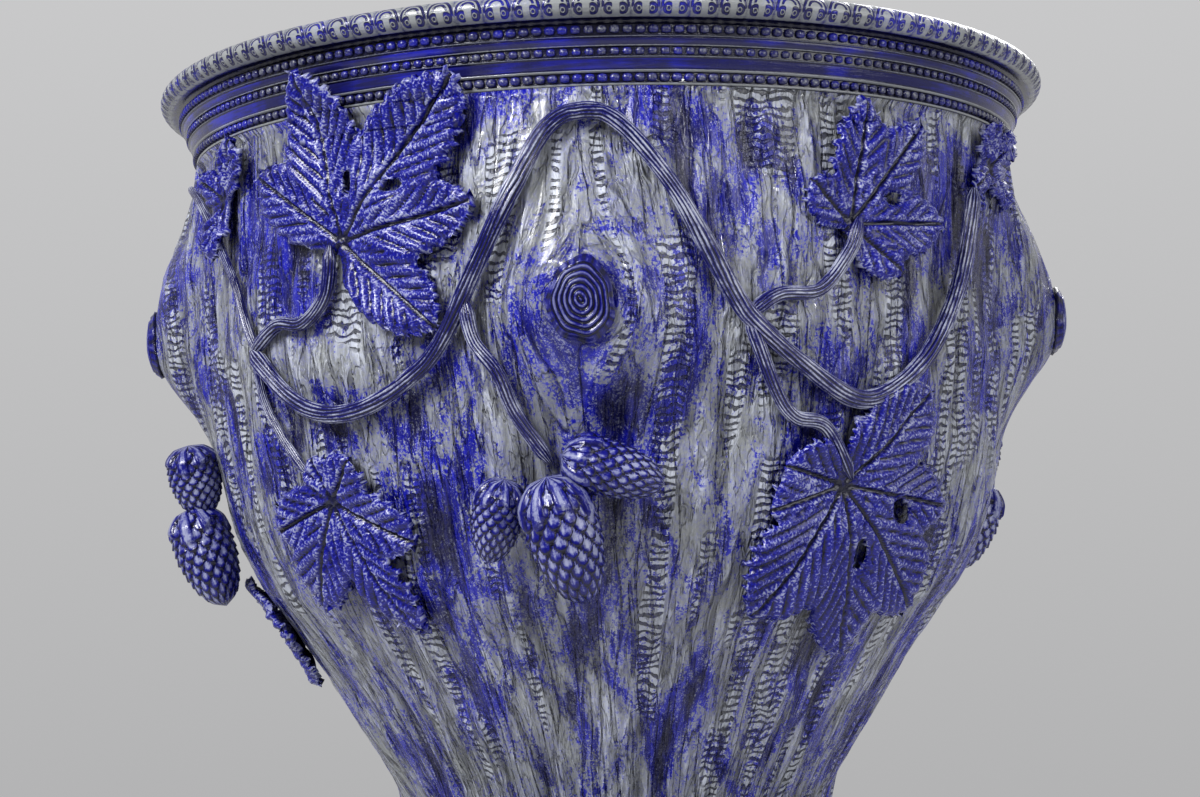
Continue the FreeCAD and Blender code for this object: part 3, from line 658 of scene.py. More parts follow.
def moulding_glaze():
    """Turned mouldings: grey clay with cobalt bands, and the roll's stamped lines, with painted highlight
    on ridges and painted shade in grooves.
    """
    colours = bpy.context.scene.jardiniere_colours
    glaze = Glaze("moulding_glaze")
    relief = glaze.mark("relief")
    band = glaze.mark("band")
    stamped = stamp_lines(glaze)
    ring = glaze.noise(glaze.drawn(glaze.place(), 12), 60.0, detail=3.0, roughness=0.6)
    cloud = glaze.noise(glaze.place(), 30.0, detail=3.0, roughness=0.6)
    speckle = glaze.noise(glaze.place(), 900.0, roughness=0.6)
    # paler clay at random, and a painted highlight where the relief is high
    light = glaze.sum(cloud, (speckle, 0.4), (relief, 0.25))
    clay = glaze.mix(glaze.step(light, 0.72, 1.35), colours.clay, colours.pale)
    rich = glaze.step(glaze.sum(cloud, (ring, 0.5)), 0.68, 1.0)
    cobalt = glaze.mix(0.03, glaze.mix(rich, colours.deep, colours.blue), colours.clay)
    amount = glaze.sum(band, (glaze.centred(speckle), 0.7), (glaze.centred(cloud), 0.6),
                       (relief, -0.35), (stamped, 0.95))
    shade = glaze.mix(glaze.step(amount, 0.2, 0.7), clay, cobalt)
    # painted shade: near black in the grooves and in the cove under the roll
    groove = glaze.step(relief, 0.1, -0.8)
    shade = glaze.mix(glaze.times(groove, 0.92), shade, colours.groove_shade)
    normal = glaze.raise_bump(ring, 0.25 * MM)
    normal = glaze.raise_bump(glaze.less(stamped), 0.7 * MM, normal)
    normal = glaze.raise_bump(salt_peel(glaze), 0.13 * MM, normal)
    return glaze.finish(shade, glaze.sum(0.16, (speckle, 0.15)), normal)


WALL_GLAZES = {"trunk_glaze": trunk_glaze, "moulding_glaze": moulding_glaze}
SPRIG_GLAZES = {
    # name: (richness, level that the pale painted-highlight strokes start at, paleness, hatch scale, hatch
    # share, hatch depth)
    "leaf_glaze": (0.66, 0.27, 0.5, (1.25, 0.5, 1), 2.0, 0.35 * MM),
    "hop_glaze": (0.5, 0.1, 0.46, (0.9, 0.15, 1), 1.0, 0.15 * MM),
    "vine_glaze": (0.2, 0.06, 0.62, (0.12, 0.9, 1), 1.0, 0.12 * MM),
    "knot_glaze": (0.4, 0.1, 0.26, (0.7, 0.3, 1), 0.9, 0.12 * MM),
}


def glaze_named(name):
    """The glaze of a material slot, mixed the first time it is asked for."""
    made = bpy.data.materials.get("salt_" + name)
    if made:
        return made
    return WALL_GLAZES[name]() if name in WALL_GLAZES else sprig_glaze(name, *SPRIG_GLAZES[name])


# ---------------------------------------------------------------- making pieces

def put_marks(mesh, marks):
    """Store numbers or vectors on a mesh's vertices for its glaze."""
    for name, values in marks.items():
        flat = np.asarray(values, np.float32)
        vector = flat.ndim > 1 and flat.shape[-1] == 3
        kind, key = ("FLOAT_VECTOR", "vector") if vector else ("FLOAT", "value")
        attribute = mesh.attributes.new(name, kind, "POINT")
        attribute.data.foreach_set(key, flat.ravel())


def new_grid(name, rows, columns):
    """Flat grid primitive with so many rows and columns of vertices."""
    bpy.ops.object.select_all(action="DESELECT")
    bpy.ops.mesh.primitive_grid_add(x_subdivisions=columns - 1, y_subdivisions=rows - 1, size=1.0)
    piece = bpy.context.object
    piece.name = name
    piece.data.name = name
    return piece


def shaped_grid(name, places, marks):
    """Grid moved to an array of places (rows, columns, 3), its seams and ends closed."""
    rows, columns = places.shape[:2]
    piece = new_grid(name, rows, columns)
    piece.data.vertices.foreach_set("co", places.astype(np.float32).ravel())
    put_marks(piece.data, {key: np.asarray(value).reshape(rows * columns, -1).squeeze()
                           for key, value in marks.items()})
    bpy.ops.object.mode_set(mode="EDIT")
    bpy.ops.mesh.select_all(action="SELECT")
    bpy.ops.mesh.remove_doubles(threshold=0.001 * MM)
    bpy.ops.mesh.fill_holes(sides=0)
    bpy.ops.mesh.normals_make_consistent(inside=False)
    bpy.ops.object.mode_set(mode="OBJECT")
    bpy.ops.object.shade_smooth()
    return piece


def apply_modifier(piece, kind, **settings):
    """Add one modifier and apply it."""
    modifier = piece.modifiers.new(kind.lower(), kind)
    for key, value in settings.items():
        setattr(modifier, key, value)
    bpy.context.view_layer.objects.active = piece
    bpy.ops.object.modifier_apply(modifier=modifier.name)


def join_pieces(pieces):
    """Join several objects into the first."""
    bpy.ops.object.select_all(action="DESELECT")
    for piece in pieces:
        piece.select_set(True)
    bpy.context.view_layer.objects.active = pieces[0]
    bpy.ops.object.join()
    return pieces[0]


def dress(piece, node):
    """Glaze a finished piece and let it stand for its plain solid."""
    piece.data.materials.clear()
    piece.data.materials.append(glaze_named(SLOT_OF[node]))
    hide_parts(node)
    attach(piece, BODY_OF[node])


# ---------------------------------------------------------------- bark

# Size of one swell of each noise, round the trunk and up it.
SWELL_SIZE = np.array([40.0, 40.0, 75.0]) * MM
PLATE_SIZE = np.array([14.0, 14.0, 50.0]) * MM
COMB_SIZE = np.array([5.2, 5.2, 24.0]) * MM
BARK_DEPTH = 1.8 * MM
SWELL_DEPTH = 1.0 * MM
BARK_SUNK = 2.0 * MM      # sets most of the bark below the plain wall
END_FADE = (4 * MM, 3 * MM)   # heights over which the bark fades in at the low and high ends


def bark(wall, azimuth, z):
    """Rise of the bark over the plain wall in metres, and the same from -1 to 1."""
    grain = wall.grain(azimuth, z)
    swell = rough_noise(grain / SWELL_SIZE, 2, seed=3)
    plates = rough_noise(grain / PLATE_SIZE, 3, seed=11)
    combing = grain_noise(grain / COMB_SIZE, seed=23)
    ribs = 1.0 - 2.2 * np.abs(plates)
    relief = np.clip(0.7 * ribs + 0.4 * combing + 0.25 * swell - 0.1, -1.0, 1.0)
    return BARK_DEPTH * relief + SWELL_DEPTH * swell - BARK_SUNK, relief


def trunk_shell(wall, inside, columns, rows, crowding):
    """Closed shell of a trunk, open at both ends: barked outer wall, then inner wall.

    Columns stand closer together at the front, by the crowding, and further apart at the back.
    """
    samples, inner_rows = 400, 16
    turn = np.linspace(-math.pi, math.pi, columns)
    azimuth = np.degrees(turn - crowding * np.sin(turn))
    fine = np.linspace(wall.low, wall.high, samples)
    length = run_length(np.stack([inside(fine), fine], axis=1))
    outer_z = np.interp(np.linspace(0.0, length[-1], rows), length, fine)
    edge = ease(0.0, END_FADE[0], outer_z - wall.low) * ease(0.0, END_FADE[1], wall.high - outer_z)
    az, z = np.meshgrid(azimuth, outer_z)
    rise, relief = bark(wall, az, z)
    outer = around(az, wall.surface(az, z) + rise * edge[:, None], z)
    inner_az, inner_z = np.meshgrid(azimuth, np.linspace(wall.high, wall.low, inner_rows))
    places = np.concatenate([outer, around(inner_az, inside(inner_z), inner_z), outer[:1]])
    reliefs = np.concatenate([relief, np.zeros(inner_z.shape), relief[:1]])
    grain = wall.grain(np.broadcast_to(azimuth, places.shape[:2]), places[..., 2])
    outside = np.concatenate([np.ones(z.shape), np.zeros(inner_z.shape), np.ones((1, columns))])
    return places, {"grain": grain, "relief": reliefs, "outside": outside}


# ---------------------------------------------------------------- turned mouldings

def turned(name, stations, columns):
    """Ring turned from (radius, height, relief, band) stations in millimetres, closed on itself."""
    loop = np.array([*stations, stations[0]], float)
    azimuth = np.linspace(-180.0, 180.0, columns)
    az, radius = np.meshgrid(azimuth, loop[:, 0] * MM)
    height = np.broadcast_to(loop[:, 1:2] * MM, az.shape)
    marks = {"relief": np.broadcast_to(loop[:, 2:3], az.shape),
             "band": np.broadcast_to(loop[:, 3:4], az.shape)}
    piece = shaped_grid(name, around(az, radius, height), marks)
    bpy.ops.object.shade_smooth_by_angle(angle=SHARP_EDGE)
    return piece


BEAD_LONG = 1.37      # length of a bead round its ring, against its depth
BEAD_TALL = 1.02      # height against the same
BEAD_BOXY = 0.72      # 1 is round, less is squarer
BEAD_COBALT = 0.72


def bead_ring(radius, z, count, bead):
    """Ring of squarish beads pressed with a roulette; lengths in millimetres."""
    bpy.ops.object.select_all(action="DESELECT")
    bpy.ops.mesh.primitive_uv_sphere_add(segments=8, ring_count=5, radius=bead * MM)
    ring = bpy.context.object
    ring.name = "beads"
    ring.data.transform(Matrix.Rotation(math.radians(90), 4, "X"))
    ring.data.transform(Matrix.Diagonal((BEAD_LONG, 1.0, BEAD_TALL, 1.0)))
    local = np.array([v.co for v in ring.data.vertices])
    local = np.sign(local) * (np.abs(local) / (bead * MM)) ** BEAD_BOXY * bead * MM
    faces = [tuple(p.vertices) for p in ring.data.polygons]
    places, all_faces = [], []
    for i in range(count):
        turn = 2 * math.pi * i / count
        right = np.array([math.cos(turn), math.sin(turn), 0.0])
        out = np.array([math.sin(turn), -math.cos(turn), 0.0])
        spot = out * radius * MM + np.array([0, 0, z * MM])
        places.append(spot + local[:, :1] * right - local[:, 1:2] * out + local[:, 2:] * [0, 0, 1])
        all_faces += [tuple(v + i * len(local) for v in face) for face in faces]
    mesh = bpy.data.meshes.new("beads")
    mesh.from_pydata(np.concatenate(places), [], all_faces)
    lift = np.tile(-local[:, 1] / (bead * MM), count)
    # relief rises from a bead's foot to its face: the glaze paints a highlight on the face and shade round
    # the foot
    put_marks(mesh, {"relief": lift * 1.25 - 0.8, "band": np.full(len(lift), BEAD_COBALT)})
    ring.data = mesh
    bpy.ops.object.shade_smooth()
    return ring


def lifted(stations, base):
    """Stations lifted from a base in metres to their place."""
    return [(radius, height + base / MM, relief, band) for radius, height, relief, band in stations]


# Stations: radius and height from the pot's foot in millimetres, relief (painted shade where low, painted
# highlight where high), cobalt.
COLLAR = [
    (188.2, 369.2, 0, 0), (198.6, 369.2, -0.6, 0.2), (199.0, 369.9, 0.3, 0.2), (198.9, 370.4, -1, 0.6),
    (199.1, 373.8, -1, 0.6), (200.4, 374.1, 0.2, 0.2), (200.8, 374.6, 0.5, 0.2), (200.7, 375.0, -0.7, 0.9),
    (201.1, 375.6, 0.1, 1), (201.9, 378.6, 0.1, 1), (202.0, 379.0, -0.8, 0.9), (202.7, 379.4, 0.4, 0.3),
    (202.2, 379.8, -1, 0.6), (202.3, 383.2, -1, 0.6), (203.6, 383.4, 0.4, 0.3), (203.8, 383.9, -0.5, 0.9),
    (204.3, 384.3, 0.1, 0.95), (204.9, 385.7, 0.1, 0.95), (204.9, 386.1, -0.7, 0.9),
    (205.8, 386.5, 0.4, 0.3), (205.2, 386.9, -1, 0.6), (205.5, 391.0, -1, 0.6), (188.2, 391.0, 0, 0),
]
BEAD_ROWS = [
    # radius, height from the pot's foot, bead radius
    (199.1, 372.1, 1.7), (202.2, 381.5, 1.5), (205.4, 389.1, 1.7),
]
BEADS_ROUND = 262
TURNED_COLUMNS = 241
SHARP_EDGE = math.radians(50)
# Radius and height from the pot's foot, under the roll and from its top back to the collar.
ROLL_COVE = [(188.2, 391.2), (205.2, 391.2), (205.4, 392.2), (206.6, 393.2)]
ROLL_LIP = [(204.6, 400.7), (200.0, 399.9), (188.2, 399.3), (188.2, 391.2)]
# Stations from the pot's foot, as for the collar.
POT_FOOT = [
    (0.01, 6, 0, 0), (103, 6, 0, 0), (106, 0, 0, 0), (122, 0, 0, 0.2), (124.6, 1.2, 0.3, 0.3),
    (125, 3.5, 0.4, 0.5), (125, 7.5, 0.3, 0.9), (123.6, 9.4, 0, 0.9), (121.4, 11.4, -0.9, 0.6),
    (122.6, 12.8, 0, 0.3), (124.0, 15.4, 0.5, 0.2), (124.0, 17.6, 0.4, 0.2), (122.8, 19.8, 0, 0.3),
    (120.8, 21.6, -0.9, 0.8), (116, 23.0, -0.2, 0.9), (112.6, 24.4, 0.2, 0.9), (111.2, 27.8, -0.4, 0.5),
    (0.01, 27.8, 0, 0),
]
# The same, with heights from the floor.
STAND_FOOT = [
    (136.3, 0, 0, 0), (175, 0, 0, 0.1), (177.6, 1.4, 0.3, 0.2), (178, 4, 0.4, 0.3), (178, 14.0, 0.3, 0.9),
    (176.5, 16.4, 0, 0.9), (173.2, 18.2, -0.9, 0.6), (174.0, 19.4, 0.5, 0.3), (172.4, 21.0, -1, 0.7),
    (170.2, 21.6, -1, 0.7), (170.2, 29.6, -1, 0.7), (172.0, 30.2, -0.8, 0.6), (172.4, 31.2, 0.5, 0.2),
    (170.2, 32.6, 0, 0.9), (163.0, 34.6, -0.3, 1), (156.0, 37.2, -0.2, 1), (154.4, 38.4, 0.4, 0.3),
    (153.4, 39.8, -0.7, 0.5), (152.8, 42.0, 0.4, 0.2), (150.2, 43.8, -0.6, 0.4), (136.3, 43.8, 0, 0),
]
# The same, with heights from the top's own base.
STAND_TOP = [
    (60.0, 16.2, 0, 0), (126.2, 0.2, 0, 0), (139.8, 0.2, -0.5, 0.3), (142.6, 1.2, 0.2, 0.3),
    (145.4, 3.4, 0.4, 0.4), (146, 6.0, 0.4, 0.9), (146, 14.0, 0.3, 0.9), (145.4, 15.6, -0.8, 0.7),
    (148.6, 16.8, 0.4, 0.3), (149.2, 18.4, -0.6, 0.6), (150.6, 19.6, -1, 0.7), (150.8, 27.8, -1, 0.7),
    (152.4, 29.0, 0.5, 0.3), (152.8, 30.6, -0.5, 0.6), (156.4, 31.6, 0.3, 0.9), (158, 34.0, 0.4, 0.9),
    (158, 41.8, 0.3, 0.6), (156.8, 44.6, 0.4, 0.2), (154.2, 46, 0.3, 0.1), (130.0, 46, 0, 0.1),
    (128.2, 45.2, 0, 0), (126.3, 38.2, -0.4, 0), (60.0, 38.0, 0, 0),
]
# Radius, height, count and bead radius.
FOOT_BEADS = (171.0, 25.7, 128, 3.6)
TOP_BEADS = (151.4, 23.6, 116, 3.5)   # height from the top's own base


def collar():
    """Moulded collar under the roll, with its three rings of beads."""
    ring = turned("pot_rim_glazed", lifted(COLLAR, POT_BASE), 361)
    beads = [bead_ring(radius, height + POT_BASE / MM, BEADS_ROUND, bead)
             for radius, height, bead in BEAD_ROWS]
    dress(join_pieces([ring, *beads]), "pot_rim")


def roll():
    """Roll of the rim, stamped all round with pairs of curls under an arch."""
    motifs, per_motif, rows = 120, 10, 34
    centre_radius, centre_height, out, tall = 209.2, 397.25, 5.8, 4.75
    stamp_low, stamp_high, notch_depth = -74.0, 72.0, 0.7
    azimuth = np.linspace(-180.0, 180.0, motifs * per_motif + 1)
    angle = np.radians(np.linspace(-80.0, 118.0, rows))
    az, section = np.meshgrid(azimuth, angle)
    p = 2.0 * ((az + 180.0) / 360.0 * motifs % 1.0) - 1.0
    q = 2.0 * (np.degrees(section) - stamp_low) / (stamp_high - stamp_low) - 1.0
    notch = notch_depth * p**6 * ease(1.0, 0.7, np.abs(q))
    radius = centre_radius + (out - notch) * np.cos(section)
    height = centre_height + (tall - 0.6 * notch) * np.sin(section)
    rolled = around(az, radius * MM, height * MM)
    runs = [np.stack([around(azimuth, r * MM, h * MM) for r, h in run]) for run in (ROLL_COVE, ROLL_LIP)]
    places = np.concatenate([runs[0], rolled, runs[1]]) + [0, 0, POT_BASE]

    def rows_of(cove, middle, lip):
        """A mark with one value on the cove, its own values on the roll and one value on the lip."""
        shapes = [run.shape[:2] for run in runs]
        return np.concatenate([np.full(shapes[0], cove), middle, np.full(shapes[1], lip)])

    # relief: -1 on the cove under the roll, painted shade there, and lower at the notches between motifs
    relief = rows_of(-1.0, 0.5 - 0.6 * p**6, 0.0)
    relief[0] = 0.0
    band = rows_of(0.9, np.full(p.shape, 0.42), 0.2)
    turn = np.broadcast_to((azimuth + 180.0) / 180.0 * motifs, places.shape[:2])
    up = rows_of(-2.0, q, 2.0)
    stamp = np.stack([turn, up, np.abs(up) < 1.2], axis=-1)
    marks = {"relief": relief, "band": band, "stamp": stamp}
    dress(shaped_grid("rim_roll_glazed", places, marks), "rim_roll")


def feet_and_top():
    """The pot's foot, and the stand's foot and top with a ring of beads each."""
    dress(turned("pot_foot_glazed", lifted(POT_FOOT, POT_BASE), TURNED_COLUMNS), "pot_foot")
    foot = turned("stand_foot_glazed", STAND_FOOT, TURNED_COLUMNS)
    dress(join_pieces([foot, bead_ring(*FOOT_BEADS)]), "stand_foot")
    top = turned("stand_top_glazed", lifted(STAND_TOP, STAND_TOP_BASE), TURNED_COLUMNS)
    radius, height, count, bead = TOP_BEADS
    dress(join_pieces([top, bead_ring(radius, STAND_TOP_BASE / MM + height, count, bead)]), "stand_top")


# ---------------------------------------------------------------- knots

KNOT_SHOWN = 0.86     # share of the boss that stands clear of the bark
KNOT_COLLAR = 0.8     # share of the way out where the collar begins
KNOT_RINGS = 5.5
KNOT_GROOVE = 0.5 * MM


def knot(wall, azimuth, z, node):
    """Ring knot: concentric grooves inside a low oval collar."""
    sizes = sprig_sizes()
    rows, columns = 44, 81
    turn = np.linspace(-math.pi, math.pi, columns)
    share = np.linspace(0.0, 1.0, rows)
    angle, far = np.meshgrid(turn, share)
    wobble = 1.0 + 0.05 * np.sin(3 * angle + 1.0) * far + 0.03 * np.sin(7 * angle) * far
    x = sizes.knot_width / 2 * KNOT_SHOWN * far * wobble * np.sin(angle)
    y = sizes.knot_height / 2 * KNOT_SHOWN * far * wobble * np.cos(angle)
    ringed = ease(0.86, 0.78, far)
    groove = np.cos((far / KNOT_COLLAR * KNOT_RINGS + 0.12 * np.sin(2 * angle)) * 2 * math.pi)
    groove = groove * ringed + 0.5 * np.cos(angle * 17 + 3 * np.sin(angle * 3)) * (1 - ringed)
    rise = sizes.knot_rise * (1.0 - 0.35 * far**2) + KNOT_GROOVE * groove
    rise = rise * (1.0 - 0.85 * ease(KNOT_COLLAR, 1.0, far))
    spot_az = azimuth + np.degrees(x / wall.cover(azimuth, z))
    top = wall.points(spot_az, z + y, rise + sizes.gap)
    sunk = np.full((1, columns), -MM)
    under = wall.points(spot_az[-1:], (z + y)[-1:], sunk)
    pole = wall.points(np.full((1, columns), azimuth), np.full((1, columns), z), sunk)
    places = np.concatenate([top, under, pole])
    # relief follows the rings' grooves: the glaze paints shade in them and a highlight on their crests
    relief = np.concatenate([groove, np.full((2, columns), -1.0)])
    fine = np.stack([far * 10 * MM, angle * 5 * MM, far * 0], axis=-1)
    fine = np.concatenate([fine, np.zeros((2, columns, 3))])
    dress(shaped_grid(node + "_glazed", places, {"relief": relief, "fine": fine}), node)


# ---------------------------------------------------------------- vine

# Routes: azimuth, percent of the wall's height.
VINE = [
    (-47.5, 72.4), (-40.5, 66.5), (-33.9, 64.4), (-26.5, 66.0), (-18.7, 71.6), (-12.6, 80.8),
    (-9.0, 88.3), (-6.0, 94.6), (-2.5, 96.6), (1.2, 95.4), (5.9, 89.1), (10.3, 81.4),
    (15.4, 74.1), (22.0, 68.6), (29.3, 64.6), (35.5, 66.2), (41.3, 70.9), (47.2, 79.7), (50.8, 90.6),
]
STALKS = {
    # name: (which width, places)
    "shoot": ("shoot_width", [
        (-47.5, 72.4), (-49.5, 75.8), (-52.2, 81.2), (-56.6, 86.5), (-60.4, 90.0), (-66.0, 93.5),
        (-73.0, 96.5),
    ]),
    "tendril": ("shoot_width", [(-47.5, 72.4), (-46.7, 66.4), (-43.5, 61.4), (-39.3, 56.5)]),
    "stalk_high_left": ("stalk_width", [
        (-47.5, 72.4), (-42.3, 75.3), (-37.7, 75.2), (-33.9, 78.4), (-33.1, 84.0),
    ]),
    "stalk_hops": ("stalk_width", [
        (-14.8, 76.5), (-13.9, 72.0), (-11.4, 68.5), (-10.1, 64.0), (-6.9, 58.2),
    ]),
    "stalk_high_right": ("stalk_width", [
        (15.4, 74.1), (19.1, 76.4), (24.2, 77.0), (28.4, 81.7), (29.8, 85.5),
    ]),
    "stalk_low_right": ("stalk_width", [
        (15.4, 74.1), (18.5, 66.2), (21.1, 62.7), (25.2, 61.5), (29.4, 55.5),
    ]),
}
STAND_VINE = [
    (-62.0, 4.0), (-48.0, 14.0), (-40.0, 26.0), (-30.0, 36.0), (-34.0, 48.0), (-24.0, 60.0),
    (-4.0, 68.0), (18.0, 72.0), (38.0, 78.0), (52.0, 88.0), (60.0, 95.0),
]
STRANDS = 13          # strands round a vine's section
PER_STRAND = 4        # faces across one strand
VINE_PITCH = 1.5 * MM
VINE_WIDE = 0.92      # breadth of a vine, as a share of its thickness
VINE_TALL = 0.86      # height out from the wall, as the same share


def evenly(points, pitch):
    """Points spread evenly along a run of points."""
    length = run_length(points)
    count = max(int(length[-1] / pitch), 4)
    marks = np.linspace(0.0, length[-1], count + 1)
    return np.stack([np.interp(marks, length, points[:, axis]) for axis in range(3)], axis=1)


def vine(wall, places, width, turn, node):
    """Bundle of strands laid on a wall along a route, its grooves turning slowly."""
    gap = sprig_sizes().gap
    route = smooth_route(places, 16)
    azimuth, z = route[:, 0] + turn, wall.height(route[:, 1])
    centres = evenly(wall.points(azimuth, z, np.full(len(z), width / 2 + gap)), VINE_PITCH)
    way = np.gradient(centres, axis=0)
    way /= np.linalg.norm(way, axis=1, keepdims=True)
    spot = np.degrees(np.arctan2(centres[:, 0], -centres[:, 1]))
    out = (wall.points(spot, centres[:, 2], np.full(len(spot), MM))
           - wall.points(spot, centres[:, 2], np.zeros(len(spot))))
    out -= way * np.sum(out * way, axis=1, keepdims=True)
    out /= np.linalg.norm(out, axis=1, keepdims=True)
    side = np.cross(way, out)
    columns = STRANDS * PER_STRAND + 1
    angle, step = np.meshgrid(np.linspace(-math.pi, math.pi, columns), np.arange(len(centres)))
    along = step * VINE_PITCH
    slow, quick, nick_length, swell_length = 35.0 * MM, 9.0 * MM, 8.0 * MM, 30.0 * MM
    twist = 0.25 * np.sin(along / slow) + 0.1 * np.sin(along / quick + 2.0 * np.sin(angle))
    scallop = np.abs(np.sin((angle + twist) * STRANDS / 2.0)) ** 0.8
    nick_places = np.stack([np.sin(angle) * 1.2, along / nick_length, np.cos(angle) * 1.2], axis=-1)
    nicks = grain_noise(nick_places, seed=5)
    swell_places = np.stack([along / swell_length, along * 0, along * 0], axis=-1)
    swell = 1.0 + 0.1 * grain_noise(swell_places, seed=8)
    end = ease(-1.0, 4.0, np.minimum(step, len(centres) - 1 - step))
    radius = width / 2 * swell * (0.7 + 0.28 * scallop + 0.04 * nicks) * (0.35 + 0.65 * end)
    body = (centres[step] + side[step] * (radius * VINE_WIDE * np.sin(angle))[..., None]
            + out[step] * (radius * VINE_TALL * np.cos(angle))[..., None])
    fine = np.stack([along, angle * width / 2, along * 0], axis=-1)
    # relief high on the strands' tops and low between them: painted highlight on the tops, painted shade in
    # the grooves
    marks = {"relief": 2.1 * scallop - 1.35 + 0.3 * nicks, "fine": fine}
    dress(shaped_grid(node + "_glazed", body, marks), node)


# ---------------------------------------------------------------- leaves

# Half of a leaf's lobe: share of its length, then share of its half breadth.
LOBE_EDGE = [(-0.08, 0.0), (0.08, 0.45), (0.3, 0.85), (0.52, 1.0), (0.72, 0.88), (0.9, 0.46), (1.0, 0.0)]
LEAVES = {
    # name: (azimuth, percent of wall height, lobes, holes)
    # lobe: direction clockwise from the top, length, half breadth; hole: x, y, half width, half height
    "leaf_high_left": (-31.6, 84.3, [
        (-10, 72, 17), (42, 84, 18), (80, 62, 14), (130, 58, 14), (-55, 56, 13),
    ], [(5, 23, 2.6, 5.4), (25, 20, 5.6, 2.4)]),
    "leaf_curled": (-55.0, 92.0, [(30, 30, 9), (-150, 28, 9), (-60, 24, 8)], []),
    "leaf_high_right": (28.8, 84.7, [
        (8, 52, 12), (40, 58, 11), (87, 48, 13), (130, 30, 10), (-50, 26, 9),
    ], [(21, 11, 5.0, 2.6)]),
    "leaf_rim_right": (57.0, 94.0, [(-10, 22, 8), (60, 34, 9), (120, 28, 8), (-120, 20, 6)], []),
    "leaf_low_right": (28.6, 54.6, [
        (48, 58, 17), (100, 58, 15), (136, 74, 17), (166, 72, 17), (212, 60, 19), (-72, 30, 13),
        (256, 34, 14),
    ], [(31, -11, 4.4, 5.0), (13, -28, 2.8, 6.6)]),
    "leaf_low_left": (-36.5, 54.0, [
        (40, 24, 10), (112, 42, 12), (152, 60, 11), (205, 48, 14), (250, 36, 12), (-20, 20, 9),
    ], []),
    "leaf_side": (-74.0, 38.0, [(-70, 28, 10), (-125, 36, 12), (175, 34, 11), (110, 26, 10)], []),
}
STAND_LEAVES = {
    "stand_leaf_low": (-10.0, 20.0, [
        (20, 42, 14), (75, 46, 15), (125, 44, 14), (170, 48, 14), (225, 40, 14), (-50, 34, 12),
    ], []),
    "stand_leaf_high": (-54.0, 70.0, [
        (-10, 44, 14), (50, 34, 12), (140, 26, 10), (190, 34, 12), (245, 40, 14), (-60, 42, 14),
    ], []),
}
WEB_REACH = 0.4       # share of two lobes' lengths that the blade half-way between them reaches
WEB_SIDE = 0.66       # the same close to a lobe
WEB_SPREAD = 100.0    # widest turn between two lobes that share a blade
RIB_PITCH = 7.8       # between side veins, millimetres
RIB_TURN = math.radians(36.0)   # turn of a side vein from its midrib
TOOTH_DEPTH = 0.15    # share of a lobe's half breadth
LOBE_FULLNESS = 1.08
COCKLE_SIZE = 17.0    # one swell of a leaf's blade, millimetres
FRILL_SIZE = 9.0      # one swell of its margin
OFF_LEAF = -1000.0    # distance in from the margin before any lobe has been tried, millimetres


def lobe_view(x, y, lobes):
    """For places on a leaf in millimetres: distance in from the margin, and the place on the lobe.

    The place is the distance along the lobe, the side distance, the share of the lobe's
    length and the count of side veins passed.
    """
    inside = np.full(x.shape, OFF_LEAF)
    owned = [np.zeros(x.shape) for _ in range(4)]
    for way, length, breadth in lobes:
        angle = math.radians(way)
        far = x * math.sin(angle) + y * math.cos(angle)
        side = x * math.cos(angle) - y * math.sin(angle)
        share = far / length
        rib = (far - np.abs(side) / math.tan(RIB_TURN)) / RIB_PITCH
        tooth = 1.0 + TOOTH_DEPTH * (np.abs(np.sin(math.pi * rib)) - 0.6) * ease(0.15, 0.3, share)
        half = LOBE_FULLNESS * breadth * curve_through(LOBE_EDGE, share) * tooth
        slope = 1.0 + 1.6 * ease(0.6, 1.0, share)
        edge = (half - np.abs(side)) / slope
        edge = np.where((share > LOBE_EDGE[0][0]) & (share < LOBE_EDGE[-1][0]), edge, -np.abs(side) - 5.0)
        mine = edge > inside
        inside = np.where(mine, edge, inside)
        owned = [np.where(mine, new, old) for new, old in zip((far, side, share, rib), owned)]
    return inside, owned


def web_view(x, y, lobes):
    """Distance in from the edge of the blade between neighbouring lobes."""
    turn = np.degrees(np.arctan2(x, y))
    away = np.hypot(x, y)
    inside = np.full(x.shape, OFF_LEAF)
    order = sorted(lobes, key=lambda lobe: lobe[0] % 360.0)
    for (way_a, length_a, _), (way_b, length_b, _) in zip(order, order[1:] + order[:1]):
        spread = (way_b - way_a) % 360.0
        if 0 < spread < WEB_SPREAD:
            share = ((turn - way_a) % 360.0) / spread
            reach = length_a + (length_b - length_a) * share
            sag = np.sin(math.pi * np.clip(share, 0, 1)) ** 0.7
            edge = reach * (WEB_SIDE - (WEB_SIDE - WEB_REACH) * sag) - away
            inside = np.where(share <= 1.0, np.maximum(inside, edge), inside)
    return inside


def leaf_margin(x, y, lobes, holes):
    """Distance in from a leaf's edge or from the rim of a hole, millimetres."""
    inside = np.maximum(lobe_view(x, y, lobes)[0], web_view(x, y, lobes))
    for hole_x, hole_y, half_x, half_y in holes:
        away = np.hypot((x - hole_x) / half_x, (y - hole_y) / half_y)
        inside = np.minimum(inside, (away - 1.0) * min(half_x, half_y))
    return inside


